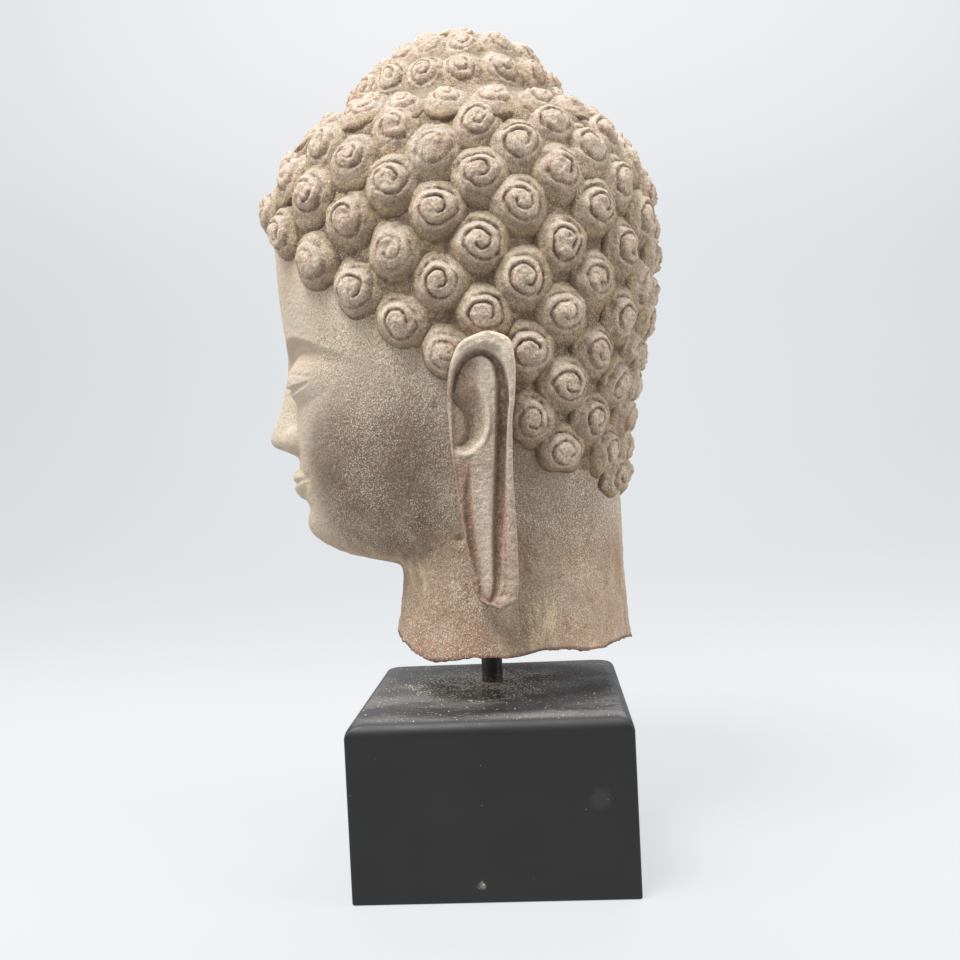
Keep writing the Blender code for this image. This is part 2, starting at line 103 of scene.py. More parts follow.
# Height, front (-y), back (+y) and half breadth of the skull under the curls.
SKULL = metres(
    (166, 30, 10, 15), (171, 52, 18, 30), (175, 70, 26, 38), (179, 83, 32, 43.5), (184, 90.5, 40, 48),
    (191, 95.5, 48, 52.5), (203, 99, 60, 58.5), (220, 101.5, 72, 64), (240, 103.5, 79, 69.5),
    (262, 105.5, 83, 74), (285, 108, 89, 77), (303, 110.5, 94, 79.5), (331, 113, 97, 81.5),
    (356, 113.5, 98, 82.5), (373, 111.8, 96.5, 81.5), (391, 101.8, 88.5, 78.5), (405, 95.5, 79.5, 73.5),
    (416, 76, 60.5, 62), (426, 60.5, 41, 50), (436, 39, 29, 36), (444, 26, 18, 22)
)
USHNISHA = metres(
    (400, 66, 58, 56), (425, 62, 52.5, 54), (436, 60.5, 48, 50), (446, 50.5, 41, 43),
    (454, 39.8, 34.5, 36), (460, 34, 24, 26), (464, 22, 12, 16), (466.5, 11, 1, 7)
)
NECK = metres(
    (112, 57.5, 83, 63.5), (133, 53.5, 80, 60), (145, 51, 79.3, 58.5), (165, 49.2, 78.5, 57),
    (200, 48.5, 77.5, 56), (230, 45, 72, 50), (260, 40, 60, 40)
)
BROKEN_EDGE = (
    (0, 0.006), (15, 0.005), (30, 0.003), (40, 0.0004), (55, -0.0014), (67, -0.0034),
    (75, -0.004), (90, -0.0028), (105, -0.0002), (114, 0.0012), (126, 0.0008),
    (137, -0.0014), (148, -0.0034), (163, -0.0024), (180, -0.001),
)
NOSE_RIDGE = metres(
    (-12, 0), (-5, 1.5), (-1, 8.5), (3.5, 18), (7.5, 19.8), (12, 18.5), (22, 13.5), (34, 8.8),
    (44, 5.2), (52, 3), (61, 1), (72, 0)
)

# Rows of curls: height, number round the head, shift in steps, radius.
CURL_ROWS = (
    (0.2165, 14, 0.0, 0.0132), (0.232, 14, 0.5, 0.0135), (0.248, 14, 0.0, 0.014),
    (0.266, 14, 0.5, 0.014), (0.283, 14, 0.0, 0.0142), (0.301, 14, 0.5, 0.0144),
    (0.3185, 14, 0.0, 0.0145), (0.336, 14, 0.5, 0.0145), (0.3545, 14, 0.0, 0.0145),
    (0.3705, 14, 0.5, 0.0142), (0.384, 14, 0.0, 0.0136), (0.3965, 14, 0.5, 0.013),
    (0.411, 20, 0.0, 0.0118), (0.4225, 20, 0.5, 0.0108), (0.433, 17, 0.1, 0.0112),
    (0.4495, 14, -0.2, 0.01), (0.4605, 8, 0.3, 0.009),
)
SHELF_ROW = 0.4225
SHELF_OUTSIDE = (48.0, 138.0)
HAIR_EDGE = (
    (0, 0.364), (14, 0.362), (26, 0.352), (39, 0.335), (52, 0.3165), (65, 0.298),
    (78, 0.281), (96, 0.281), (103, 0.245), (116, 0.232), (130, 0.226), (154, 0.2165),
    (180, 0.2165),
)
CURL_HEIGHT = 0.66
CURL_SINK = 0.0035
CURL_JITTER = 0.0009
CURL_SPREAD = (5.0, 2.5)
CURL_SHIFT = 3.0
NAPE_DRIFT = 4.0
TURN_RADIUS = 0.09
CURL_SPOKES = 52
CURL_RINGS = (20, 6)
CROWN_GROUP_FROM = 0.417
CROWN_ROWS_FROM = 0.41
KNOB_RADIUS, KNOB_HEIGHT = 0.0145, 0.0105
KNOB_PLACE = np.array((HEAD_X, -0.006, 0.4655))
UPWARD = np.array((0.0, 0.0, 1.0))

# Ear: height, front edge (y), back edge (y), and how far each edge stands from mid-head (x).
EAR = metres(
    (151.3, 0.3, 16.5, 67.5, 73), (156, -2.5, 18.3, 67.2, 74), (168, -5.5, 19.7, 67.2, 75.5),
    (186.8, -7.5, 19.7, 68, 77), (216.3, -10.8, 19.3, 71, 80), (245.8, -12.5, 20.2, 75.5, 85),
    (259.6, -12.5, 22.2, 78.5, 87.5), (273.3, -10.7, 23.2, 82, 89.5), (284.2, -6, 22.2, 86, 90.5),
    (288.7, -1.5, 19.8, 88, 90.5), (291.5, 3.4, 16.8, 89, 90)
)
EAR_LOW, EAR_HIGH = EAR[0][0], EAR[-1][0]
EAR_END_CAP = 0.005
# Channel inside the rim: y, z, half width, depth.
CHANNEL = metres(
    (-1.5, 164, 1, 0.3), (0.6, 157, 1.3, 1), (3.6, 154.5, 1.4, 1.2), (6.6, 158, 1.9, 1.9),
    (8.5, 166, 2.4, 2.8), (9.8, 185, 3, 3.8), (11.8, 207, 3.4, 4.4), (13.9, 233, 3.2, 5.2),
    (16, 254, 3.8, 5.6), (16.3, 266, 3.4, 5), (14, 275.5, 2.6, 4.2), (8.2, 281.2, 2, 3.4),
    (0.8, 280.6, 1.8, 2.8), (-5.8, 275, 1.8, 2.2), (-9.2, 266.5, 1.7, 1.4), (-10, 260, 1.4, 0.3)
)
# Raised ridge that curls under the bowl.
CRESCENT = metres(
    (3.5, 267, 0.8, 0.2), (6.2, 261.5, 1.4, 0.7), (8, 255, 1.8, 1.1), (7.8, 246, 2, 1.2),
    (5, 238.5, 2, 1.2), (0, 233.5, 1.9, 1.1), (-5, 231.2, 1.8, 1), (-10.8, 233.2, 1.3, 0.4)
)
LOBE_SLOT = metres(
    (-3, 222, 1.6, 0.2), (-4.3, 212, 2.6, 1.6), (-4.4, 196, 3, 2.4), (-2.8, 180, 2.8, 2.3),
    (-0.8, 168, 2.2, 1.8), (0, 160, 1.5, 0.8)
)
# Rim breadth by height, on the front and on the back edge.
RIM = metres(
    (151.3, 2.2, 5), (168, 1.6, 6.2), (207, 1.4, 4), (233, 1.6, 3), (254, 2.6, 2.6), (268, 3, 4),
    (278, 4.2, 6), (285, 6.2, 7.2), (291.5, 7.4, 7.4)
)
# Pits beside the ear: y, z, radius, depth.
PITS = metres(
    (-20.7, 257, 1.9, 1.8), (-19.5, 253, 1.1, 0.7), (-12.2, 185.3, 2.2, 1.8), (-38.5, 182.2, 1.1, 0.5),
    (-34, 180.5, 1.1, 0.5), (-29, 179, 1.2, 0.6)
)
# Marks on the plinth's left side: y, z, radius, strength, tone.
MARKS = (
    (-0.0067, 0.0092, 0.0021, 0.85, "chip"),
    (-0.0062, 0.0098, 0.0008, 0.9, "chip_core"),
    (0.056, 0.0526, 0.0055, 0.045, "rub"),
)
EAR_ROOT = 0.044
EAR_ROOT_SCALE = 0.8
EAR_MIDDLE_Y = 0.006
EAR_ROWS, EAR_COLUMNS = 235, 64
EAR_EDGE_POINTS = 1200
EAR_PATH_POINTS = 220
EAR_EDGE_TURN = 0.0019
# Steps of the wall from the ear's face down into the head, as shares of the way.
EAR_WALL = (0.1, 0.22, 0.36, 0.52, 0.7, 1.0)

# Lights: name, place, target, size and power.
MIDDLE = (HEAD_X, 0.0, 0.25)
LIGHTS = (
    ("key", (0.62, -0.42, 1.6), MIDDLE, (0.6, 0.6), 33.5),
    ("overhead", (0.3, 0.1, 1.7), MIDDLE, (1.0, 1.0), 10.5),
    ("left_side", (0.4, -1.5, 0.8), MIDDLE, (0.9, 1.2), 14.0),
    ("right_side", (0.4, 1.5, 0.8), MIDDLE, (0.9, 1.2), 19.5),
    ("backdrop", (-1.1, 0.0, 2.2), (-2.3, 0.0, 0.5), (3.0, 0.8), 72.0),
)
SKY_COLOUR = (0.93, 0.96, 1.0, 1.0)
SKY_STRENGTH = 0.06
# The paper sweep: where it starts, where its bend begins, the bend's radius, its top and half its width.
SHEET_FRONT, SHEET_WALL, SHEET_BEND, SHEET_TOP, SHEET_HALF = 3.0, -1.5, 0.9, 4.0, 4.0
SHEET_STEPS = 16
CAMERA_PLACE = (0.60008, 0.03312, 0.23113)
CAMERA_TURN = (-3.38, -1.43, -2.77)  # yaw, pitch and roll in degrees
CAMERA_LENS = 38.76

# Tones, sRGB, 0 to 255.
TONES = {
    "grey": (178, 165, 150), "sand": (186, 171, 149), "ochre": (176, 146, 116), "umber": (126, 102, 82),
    "rust": (150, 104, 82), "cream": (232, 218, 196), "grime_and_shade": (99, 84, 70), "hair": (201, 184, 160),
    "disc": (180, 159, 141), "skirt": (143, 123, 99), "blush": (146, 108, 88), "stain": (122, 90, 74),
    "crumbs": (102, 76, 60), "chalk": (208, 186, 162), "ear_wear": (138, 108, 86),
    "ear_flecks": (124, 90, 70), "settled": (168, 162, 152), "shade": (122, 100, 80),
    "dust": (186, 160, 112), "crease_shade": (90, 71, 54), "lip": (214, 199, 180), "neck": (146, 117, 92),
    "pale_streak": (208, 192, 156), "dark_streak": (126, 96, 76), "low_neck": (156, 108, 88),
    "underside": (92, 60, 50), "speckle": (104, 80, 62), "black": (24, 24, 25),
    "soft_black": (31, 31, 31), "film": (132, 129, 126), "powder": (132, 122, 110),
    "fallen": (252, 243, 228), "scattered": (196, 186, 170), "specks": (176, 174, 170),
    "chip": (122, 116, 108), "chip_core": (206, 202, 194), "rub": (150, 150, 150), "iron": (26, 26, 27),
    "warm_iron": (44, 42, 41), "rod_dust": (150, 132, 110), "paper": (96, 97, 98),
    "pale_paper": (102, 103, 104), "glow": (202, 203, 205), "dim_glow": (192, 195, 198),
}


# ---- small functions
def ease(table, z, column):
    """A smooth, monotone curve through one column of a table of heights."""
    xs = np.array([row[0] for row in table])
    ys = np.array([row[column] for row in table])
    z = np.clip(z, xs[0], xs[-1])
    h = np.diff(xs)
    d = np.diff(ys) / h
    m = np.zeros_like(ys)
    m[0], m[-1] = d[0], d[-1]
    a, b = d[:-1], d[1:]
    same = a * b > 0
    m[1:-1] = np.where(same, 2 * a * b / np.where(same, a + b, 1.0), 0.0)
    i = np.clip(np.searchsorted(xs, z, side="right") - 1, 0, len(h) - 1)
    t = (z - xs[i]) / h[i]
    value = (1 + 2 * t) * (1 - t) ** 2 * ys[i] + t * (1 - t) ** 2 * h[i] * m[i]
    return value + t * t * (3 - 2 * t) * ys[i + 1] + t * t * (t - 1) * h[i] * m[i + 1]


def bell(value, width):
    return np.exp(-((value / width) ** 2))


def hump(x, z, rx, rz):
    return np.sqrt(np.maximum(0.0, 1.0 - (x / rx) ** 2 - (z / rz) ** 2))


def blend(a, b, width):
    return 0.5 * (a + b + np.sqrt((a - b) ** 2 + width * width))


def rise(value, width):
    return 1.0 / (1.0 + np.exp(-np.clip(value / width, -40.0, 40.0)))


def unit(value):
    return np.clip(value, 0.0, 1.0)


def ramp(value, low, high):
    t = unit((value - low) / (high - low))
    return t * t * (3.0 - 2.0 * t)


def fall(value, low, high):
    return 1.0 - ramp(value, low, high)


def half_wave(share):
    """From 0 to 1, slow at both ends."""
    return 0.5 - 0.5 * np.cos(np.pi * share)


def noise(points, size, seed):
    """Smooth value noise, -1 to 1, with features of about this size."""
    p = points / size + seed * 17.31
    base = np.floor(p).astype(np.int64)
    f = p - base
    f = f * f * f * (f * (f * 6.0 - 15.0) + 10.0)
    total = np.zeros(len(points))
    for corner in itertools.product((0, 1), repeat=3):
        weight = np.prod([f[:, axis] if far else 1.0 - f[:, axis] for axis, far in enumerate(corner)], axis=0)
        # A hash of the corner's whole-number place.
        dx, dy, dz = corner
        n = (base[:, 0] + dx) * 374761393 + (base[:, 1] + dy) * 668265263
        n = n + (base[:, 2] + dz) * 2147483647 + seed * 974634777
        n = (n ^ (n >> 13)) * 1274126177
        n = n ^ (n >> 16)
        total += weight * ((n & 0xFFFF) / 32767.5 - 1.0)
    return total


def layered(points, size, seed, layers):
    """Noise in layers, each half as wide as the last and weaker."""
    return sum(0.55**k * noise(points, size * 0.5**k, seed + 7 * k) for k in range(layers))


# ---- the head's form
def section(table, angle, z, power):
    """Radius, at an angle, of the rounded section that a table gives at a height."""
    front, back, half = (ease(table, z, column) for column in (1, 2, 3))
    reach = np.where(np.cos(angle) > 0, front + AXIS_Y, back - AXIS_Y)
    side = np.abs(np.sin(angle) / half) ** power
    deep = np.abs(np.cos(angle) / np.maximum(reach, 0.001)) ** power
    return (side + deep) ** (-1.0 / power)


def core_radius(angle, z):
    neck = section(NECK, angle, z, NECK_POWER)
    skull = section(SKULL, angle, z, SKULL_POWER)
    skull = np.where((z < SKULL[0][0]) | (z > SKULL[-1][0]), 0.0, skull)
    fillet = 0.008 * unit((NECK_TOP - z) / 0.04) * unit((z - 0.16) / 0.012)
    radius = np.where(z < NECK_TOP, blend(skull, neck, fillet), skull)
    radius = np.where(z < SKULL[0][0], neck, radius)
    crown = section(USHNISHA, angle, z, CROWN_POWER)
    return np.where(z > CROWN_FOOT, blend(radius, crown, 0.004), radius)


def brow_line(x):
    away = (x - EYE_OUT - 0.001) / 0.026
    return BROW + 0.0035 - 0.0105 * away * away


def nose_relief(x, z):
    up = z - NOSE_BASE
    ridge = ease(NOSE_RIDGE, up, 1)
    breadth = 0.0072 + 0.003 * bell(up - 0.005, 0.012) - 0.0006 * bell(up - 0.04, 0.012)
    body = 0.86 * ridge * np.exp(-0.75 * (x / breadth) ** 2.6) + 0.165 * ridge * bell(x, 0.017)
    wing = 0.0118 * hump(x - 0.0118, up - 0.0062, 0.008, 0.0092) ** 1.5
    return np.maximum(0.0, blend(body, wing, 0.003) - 0.0015) * rise(up + 0.006, 0.001)


def eye_relief(x, z):
    away = x - EYE_OUT
    below = brow_line(x) - z
    fade = bell(away, 0.0275) * bell(np.maximum(0.0, below - 0.007), 0.016)
    socket = -0.0062 * rise(below, 0.0011) * fade * (1.0 - bell(x, 0.0075))
    ridge = 0.0012 * bell(below + 0.0014, 0.0022) * bell(away, 0.026) * (1.0 - bell(x, 0.006))
    ball = 0.008 * hump(away, z - EYE - 0.0005, 0.0235, 0.0158) ** 2.6
    across = unit(1.0 - (away / EYE_HALF) ** 2)
    room = EYE_HALF - np.abs(away)
    inside = rise(room, 0.0006)
    upper = EYE - 0.0025 - 0.0022 * across + 0.04 * away
    lower = upper - 0.003 * across
    slit = -0.0016 * rise(upper - z, 0.00035) * rise(z - lower, 0.00035) * inside
    lips = 0.0007 * bell(z - upper - 0.0009, 0.0009) + 0.0004 * bell(z - lower + 0.0008, 0.0008)
    fold = upper + 0.0072 - 0.006 * (away / EYE_HALF) ** 2
    crease = -0.0006 * bell(z - fold, 0.0008) * rise(room, 0.0015)
    return socket + ridge + ball + slit + lips * inside + crease


def mouth_relief(x, z):
    out = (x / MOUTH_HALF) ** 2
    reach = np.maximum(0.0, 1.0 - out)
    line = MOUTH + 0.003 * out - 0.0006 * bell(x, 0.004)
    relief = 0.005 * bell(x, 0.027) * bell(z - MOUTH - 0.002, 0.02)
    upper = np.maximum(0.0085 * reach**0.75 * (1.0 - 0.16 * bell(x, 0.0035)), 1e-4)
    lower = np.maximum(0.0095 * reach**0.65, 1e-4)
    above = unit((z - line) / upper)
    under = unit((line - z) / lower)
    top = 0.0046 * reach**0.6 * np.sqrt(1.0 - above**2.2)
    bottom = 0.0048 * reach**0.6 * np.sqrt(1.0 - under**2.2)
    relief = relief + np.where(z >= line, top, bottom)
    relief = relief - 0.0022 * reach**0.4 * bell(z - line, 0.0014)
    relief = relief - 0.0016 * bell(x - MOUTH_HALF - 0.0005, 0.0032) * bell(z - line, 0.003)
    return relief - 0.001 * bell(x, 0.0026) * bell(z - 0.5 * (MOUTH + NOSE_BASE) - 0.003, 0.0055)


def face_relief(x, z):
    """How far the face stands out of the skull: nose, mouth and eyes, chin and cheeks."""
    x = np.abs(x)
    relief = nose_relief(x, z) + mouth_relief(x, z) + eye_relief(x, z)
    relief += 0.0064 * bell(x, 0.0175) * bell(z - CHIN - 0.0105, 0.012)
    relief -= 0.0022 * bell(x, 0.015) * bell(z - MOUTH + 0.0145, 0.0045)
    relief += 0.0028 * bell(x - 0.043, 0.019) * bell(z - NOSE_BASE - 0.004, 0.022)
    gate = rise(HAIRLINE - 0.012 - z, 0.004) * rise(z - CHIN + 0.004, 0.0015)
    return relief * gate * rise(0.066 - x, 0.003)


def core_point(angle, z):
    angle, z = np.broadcast_arrays(np.asarray(angle, float), np.asarray(z, float))
    radius = core_radius(angle, z)
    return np.stack([HEAD_X + radius * np.sin(angle), AXIS_Y - radius * np.cos(angle), z], -1)


def outward(angle, z):
    a = core_point(angle + 0.03, z) - core_point(angle - 0.03, z)
    b = core_point(angle, z + 0.002) - core_point(angle, z - 0.002)
    n = np.cross(a, b)
    return n / np.linalg.norm(n, axis=-1, keepdims=True)


def enlarge(points):
    return HEAD_PIVOT + HEAD_SIZE * (points - HEAD_PIVOT)


def underside_height(angle):
    around = np.abs((np.degrees(angle) + 180.0) % 360.0 - 180.0)
    wave = 0.0016 * np.sin(5.0 * angle + 0.8) + 0.001 * np.sin(9.0 * angle + 2.0)
    return NECK_UNDERSIDE + ease(BROKEN_EDGE, around, 1) + wave


def hair_edge(angle):
    degrees = np.abs(np.degrees(angle))
    return ease(HAIR_EDGE, np.minimum(degrees, 360.0 - degrees), 1)


# ---- meshes
def grid_faces(rows, columns, wrap):
    i = np.arange(rows - 1)[:, None] * columns
    j = np.arange(columns if wrap else columns - 1)[None, :]
    k = (j + 1) % columns
    return np.stack([i + j, i + k, i + columns + k, i + columns + j], -1).reshape(-1, 4)


def end_caps(rows, columns):
    """The two polygons that close a belt of rows at its first and last row."""
    return [list(range(columns))[::-1], list(range((rows - 1) * columns, rows * columns))]


def grid_normals(grid):
    """Unit normals of a belt of points, from the neighbours of each."""
    normals = np.cross(np.roll(grid, -1, 1) - np.roll(grid, 1, 1), np.gradient(grid, axis=0))
    return normals / np.maximum(np.linalg.norm(normals, axis=-1, keepdims=True), 1e-12)


def piece(name, points, faces, attributes):
    """A mesh object from points and polygons, shaded smooth, with its painted values per point."""
    mesh = bpy.data.meshes.new(name)
    mesh.from_pydata(points, [], faces, shade_flat=False)
    mesh.validate()
    for key, values in attributes.items():
        layer = mesh.attributes.new(key, "FLOAT", "POINT")
        layer.data.foreach_set("value", values.astype(np.float32))
    obj = bpy.data.objects.new(name, mesh)
    bpy.context.scene.collection.objects.link(obj)
    return obj


# ---- face, skull and neck
def core_grid():
    """The head's belt of points, how hairy each is, and how high each stands over the broken edge."""
    t = np.linspace(0.0, 2.0 * np.pi, CORE_COLUMNS, endpoint=False)
    angles = t - 0.55 * np.sin(t)
    heights = np.concatenate([np.arange(low, high - 1e-6, step) for low, high, step in CORE_ROWS])
    lip = underside_height(angles)
    # Below the first level row the rows follow the broken edge.
    low = np.stack([lip + (heights[0] - lip) * share for share in EDGE_ROWS])
    z = np.concatenate([low, np.repeat(heights[:, None], CORE_COLUMNS, 1)])
    a = np.repeat(angles[None, :], len(z), 0)
    points = core_point(a, z)
    points[..., 1] -= np.where(np.cos(a) > 0, face_relief(points[..., 0] - HEAD_X, z), 0.0)
    # The rough ground between the curls stands a little higher than the skin.
    ground = ramp(z - (hair_edge(a) - 0.006), 0.0, 0.005)
    points += ((0.0012 + 0.0009 * ramp(z, 0.35, 0.41)) * ground)[..., None] * outward(a, z)
    drawn = points[0] - UNDERSIDE_MIDDLE
    inner = [UNDERSIDE_MIDDLE + drawn * scale + (0.0, 0.0, lift) for scale, lift in UNDERSIDE_RINGS]
    grid = np.concatenate([np.stack(inner), points])
    hair = np.concatenate([np.zeros((len(inner), CORE_COLUMNS)), ground])
    return grid, hair.ravel(), grid[..., 2] - lip


def build_core():
    grid, hair, above = core_grid()
    flat = enlarge(grid.reshape(-1, 3))
    normals = grid_normals(flat.reshape(grid.shape)).reshape(-1, 3)
    under = fall(above, 0.0009, 0.0024)
    under[: len(UNDERSIDE_RINGS)] = 1.0
    under = under.ravel()
    neck = fall(grid[..., 2].ravel(), 0.165, 0.205)
    x, y, z = flat[:, 0] - HEAD_X, flat[:, 1], flat[:, 2]
    rough = 0.00005 + 0.00022 * neck + 0.00055 * hair + 0.0004 * under
    bumps = layered(flat, 0.0042, 3, 3) * rough
    bumps += layered(flat, 0.028, 5, 2) * (0.00015 + 0.0005 * neck)
    for pit_y, pit_z, size, depth in PITS:
        bumps -= depth * bell(np.hypot(y - pit_y, z - pit_z), size) * (x > 0.03)
    flat = flat + normals * bumps[:, None]
    y, z = flat[:, 1], flat[:, 2]
    over_jaw = ramp(z, 0.16, 0.178)
    forward = y + 0.02 * fall(z, 0.23, 0.275)
    # Darker patch on cheek and jaw, and on the lower neck toward the front: patina with painted shade.
    dirt_and_shade = ramp(np.abs(x), 0.014, 0.046) * ramp(forward, -0.098, -0.07)
    dirt_and_shade *= (1.0 - 0.45 * ramp(y, -0.035, -0.01)) * fall(z, 0.235, 0.3) * over_jaw
    dirt_and_shade = np.maximum(dirt_and_shade, 0.62 * fall(y, 0.01, 0.055) * (1.0 - over_jaw))
    smooth = fall(y, -0.098, -0.078) * over_jaw * (1.0 - hair)
    faces = grid_faces(*grid.shape[:2], True).tolist() + end_caps(*grid.shape[:2])
    # low marks the ground between the curls: dust, and painted shade in the creases.
    painted = {"hair": hair, "neck": neck, "under": under, "dirt_and_shade": dirt_and_shade, "smooth": smooth, "low": 0.95 * hair}
    return piece("carved_head", flat, faces, painted)


# ---- curls
def whorl(rho, th, cap, phases, rng):
    """A groove that winds inward, clockwise seen from outside, and the radii of the worn cap."""
    start = np.radians(150.0 + rng.uniform(-50, 50))
    lean = rng.uniform(0, 3.14)
    round_cap = rho * (1.0 + 0.07 * np.cos(2.0 * (th - lean)))
    turns = rng.uniform(1.55, 1.95)
    chips = [(rng.uniform(0.0, 1.5), rng.uniform(0.03, 0.1), rng.uniform(0.2, 0.8)) for _ in range(3)]
    groove = np.zeros_like(rho)
    for lap in range(2):
        turned = ((start - th) % (2.0 * np.pi)) / (2.0 * np.pi) + lap
        line = (cap + 0.05) * (1.0 - 0.32 * turned - 0.055 * turned**2)
        live = ramp(turned, -0.01, 0.1) * fall(turned, turns - 0.15, turns)
        for place, width, loss in chips:
            live = live * (1.0 - loss * bell(turned - place, width))
        uneven = 0.012 * np.cos(4.0 * th + phases[0] + lap) + 0.008 * np.cos(7.0 * th + phases[2])
        groove = np.maximum(groove, bell(round_cap - line - uneven, 0.068 - 0.008 * turned) * live)
    return groove, round_cap


def snail(radius, height, reach, rng, bold):
    """One curl round the origin, its crown toward +Z: a domed skirt with a snail's whorl on top.

    Returns its points, its blocks of polygons (belt, tip and underside) and its painted values.
    """
    cap = 0.72 + rng.uniform(-0.04, 0.04)
    shelf = cap + 0.12
    share = [np.linspace(0.0, shelf, CURL_RINGS[0])[1:], np.linspace(shelf, 1.0, CURL_RINGS[1])[1:]]
    theta = np.linspace(0.0, 2.0 * np.pi, CURL_SPOKES, endpoint=False)
    rho, th = np.meshgrid(np.concatenate(share), theta, indexing="ij")
    far = ramp(rho, cap + 0.05, 1.0)
    phases = rng.uniform(0.0, 2.0 * np.pi, 3)
    waves = zip((0.03, 0.026, 0.014), (2.0, 3.0, 5.0), phases)
    wobble = sum(size * np.cos(beat * th + phase) for size, beat, phase in waves)
    spread = rho * (1.0 + far * (reach(theta)[None, :] - 1.0) + wobble * ramp(rho, 0.1, 0.8))
    steep = 2.5 + 0.5 * bold + 0.4 * np.sin(th) + 0.2 * np.cos(2.0 * th + rng.uniform(0, 6.28))
    skirt = 0.84 * (1.0 - rho**steep)
    wear = rng.uniform(0.65, 1.05) if rng.random() > 0.1 else rng.uniform(0.3, 0.5)
    wear *= 0.86 + 0.14 * bold
    groove, round_cap = whorl(rho, th, cap, phases, rng)
    inside = fall(round_cap, cap - 0.01, cap + 0.08)
    upper = 0.5 + 0.5 * np.sin(th)
    patchy = 0.75 + 0.25 * np.cos(3.0 * th + phases[2]) * np.cos(5.0 * th + phases[1])
    rut = groove * ramp(rho, 0.5, 0.66) * (0.45 + 0.55 * upper) * patchy
    ridge = fall(groove, 0.08, 0.6)
    dome = 0.15 * np.maximum(0.0, 1.0 - (round_cap / (cap + 0.05)) ** 2)
    # Painted shade: the lower side and outer skirt of each curl darker, where light from above does not
    # reach.
    lower_side_shade = unit(0.15 - 0.85 * np.sin(th) + 0.25 * np.cos(th)) * ramp(rho, 0.62, 1.0)
    z = (skirt + dome - (0.21 + 0.05 * upper) * wear * groove) * height
    belt = np.stack([spread * radius * np.cos(th), spread * radius * np.sin(th), z], -1)
    # A short wall carries the edge down into the head.
    wall = []
    for drop, inset in ((0.5, 1.0), (1.0, 0.97)):
        wall.append(belt[-1] * (inset, inset, 1.0 - drop) - (0.0, 0.0, CURL_SINK * drop))
    grid = np.concatenate([belt, wall])
    points = np.concatenate([grid.reshape(-1, 3), [(0.0, 0.0, z[0].mean())]])
    j = np.arange(CURL_SPOKES)
    tip = np.stack([np.full(CURL_SPOKES, len(points) - 1), j, (j + 1) % CURL_SPOKES], -1)
    underside = (j + (len(grid) - 1) * CURL_SPOKES)[None, :]
    blocks = (grid_faces(len(grid), CURL_SPOKES, True)[:, ::-1], tip, underside)
    # Each painted value on the curl, and its value on the wall.
    fields = {
        "lip": (ridge * inside * wear, 0.0),
        "hollow": (np.maximum(inside * (1.0 - ridge), rut) * (0.6 + 0.4 * wear), 0.0),
        # low marks the skirt's foot and wall: dust, and painted shade where the curls meet.
        "low": (ramp(rho, 0.74, 1.0), 1.0),
        "disc": (inside, 0.0),
        "rut": (rut, 0.0),
        "shade": (lower_side_shade, 1.0),
        "hair": (np.ones_like(rho), 1.0),
    }
    painted = {}
    for key, (field, on_wall) in fields.items():
        rows = np.concatenate([field, np.full((len(wall), CURL_SPOKES), on_wall)])
        painted[key] = np.append(rows.ravel(), field[0].mean())
    return points, blocks, painted


def crown_angle(degrees, height):
    front, back, half = (ease(USHNISHA, height, column) for column in (1, 2, 3))
    turn = math.radians(degrees)
    x = half * math.sin(turn)
    y = 0.5 * (back - front) - 0.5 * (back + front) * math.cos(turn)
    return math.degrees(math.atan2(x, AXIS_Y - y))


def curl_angles(height, count, shift):
    step = 360.0 / count
    if height > CROWN_ROWS_FROM:
        return [crown_angle((k + shift) * step - 180.0, height) for k in range(count)]
    out = []
    for k in range(count):
        angle = (k + shift) * step
        if angle > 180.1:
            break
        low = unit((0.3 - height) / 0.035)
        spread = CURL_SPREAD[0] if angle < 90.0 else CURL_SPREAD[1] + NAPE_DRIFT * low
        moved = angle + spread * math.sin(math.radians((angle - 90.0) * 2.0))
        moved += CURL_SHIFT * math.sin(math.radians(angle))
        out.append(moved)
        if 1.0 < angle < 179.0:
            out.append(-moved)
    return out


def curl_places():
    """Where every curl sits: centre, outward direction, radius and height, with the CAD's own jitter."""
    random.seed(31)
    places = []
    for height, count, shift, radius in CURL_ROWS:
        for degrees in curl_angles(height, count, shift):
            if height < ease(HAIR_EDGE, abs(degrees), 1) - 0.004:
                continue
            if height == SHELF_ROW and SHELF_OUTSIDE[0] < abs(degrees) < SHELF_OUTSIDE[1]:
                continue
            angle = math.radians(degrees) + random.uniform(-1.0, 1.0) * CURL_JITTER / TURN_RADIUS
            z = height + random.uniform(-1.0, 1.0) * CURL_JITTER
            size = radius * random.uniform(0.96, 1.04)
            # The CAD draws a fourth number here, so it is drawn and left.
            random.uniform(0.0, 2.0 * math.pi)
            places.append((core_point(angle, z), outward(angle, z), size, size * CURL_HEIGHT))
    return places + [(KNOB_PLACE, UPWARD, KNOB_RADIUS, KNOB_HEIGHT)]


def place_curl(centre, normal, radius, height, rng):
    """One curl set on the head: its points, polygons and painted values, and the way out for each point."""
    side = np.cross(UPWARD, normal)
    if np.linalg.norm(side) < 0.05:
        side = np.array((0.0, 1.0, 0.0))
    side /= np.linalg.norm(side)
    top = np.cross(normal, side)

    def reach(theta):
        """The skirt runs farther out where there is room, most of all below the curl."""
        spot = centre + 1.25 * radius * (np.cos(theta)[:, None] * side + np.sin(theta)[:, None] * top)
        angle = np.arctan2(spot[:, 0] - HEAD_X, AXIS_Y - spot[:, 1])
        room = ramp(spot[:, 2] - hair_edge(angle), -0.013, -0.005)
        higher, lower = np.maximum(0.0, np.sin(theta)), np.maximum(0.0, -np.sin(theta))
        return 1.0 + (0.08 + 0.05 * higher + 0.2 * lower**1.5) * room

    bold = fall(centre[2], 0.355, 0.425)
    radius *= 1.0 + 0.11 * (1.0 - bold)
    local, blocks, painted = snail(radius, height, reach, rng, bold)
    world = centre + local @ np.stack([side, top, normal])
    return world, blocks, painted, np.repeat(normal[None], len(world), 0)


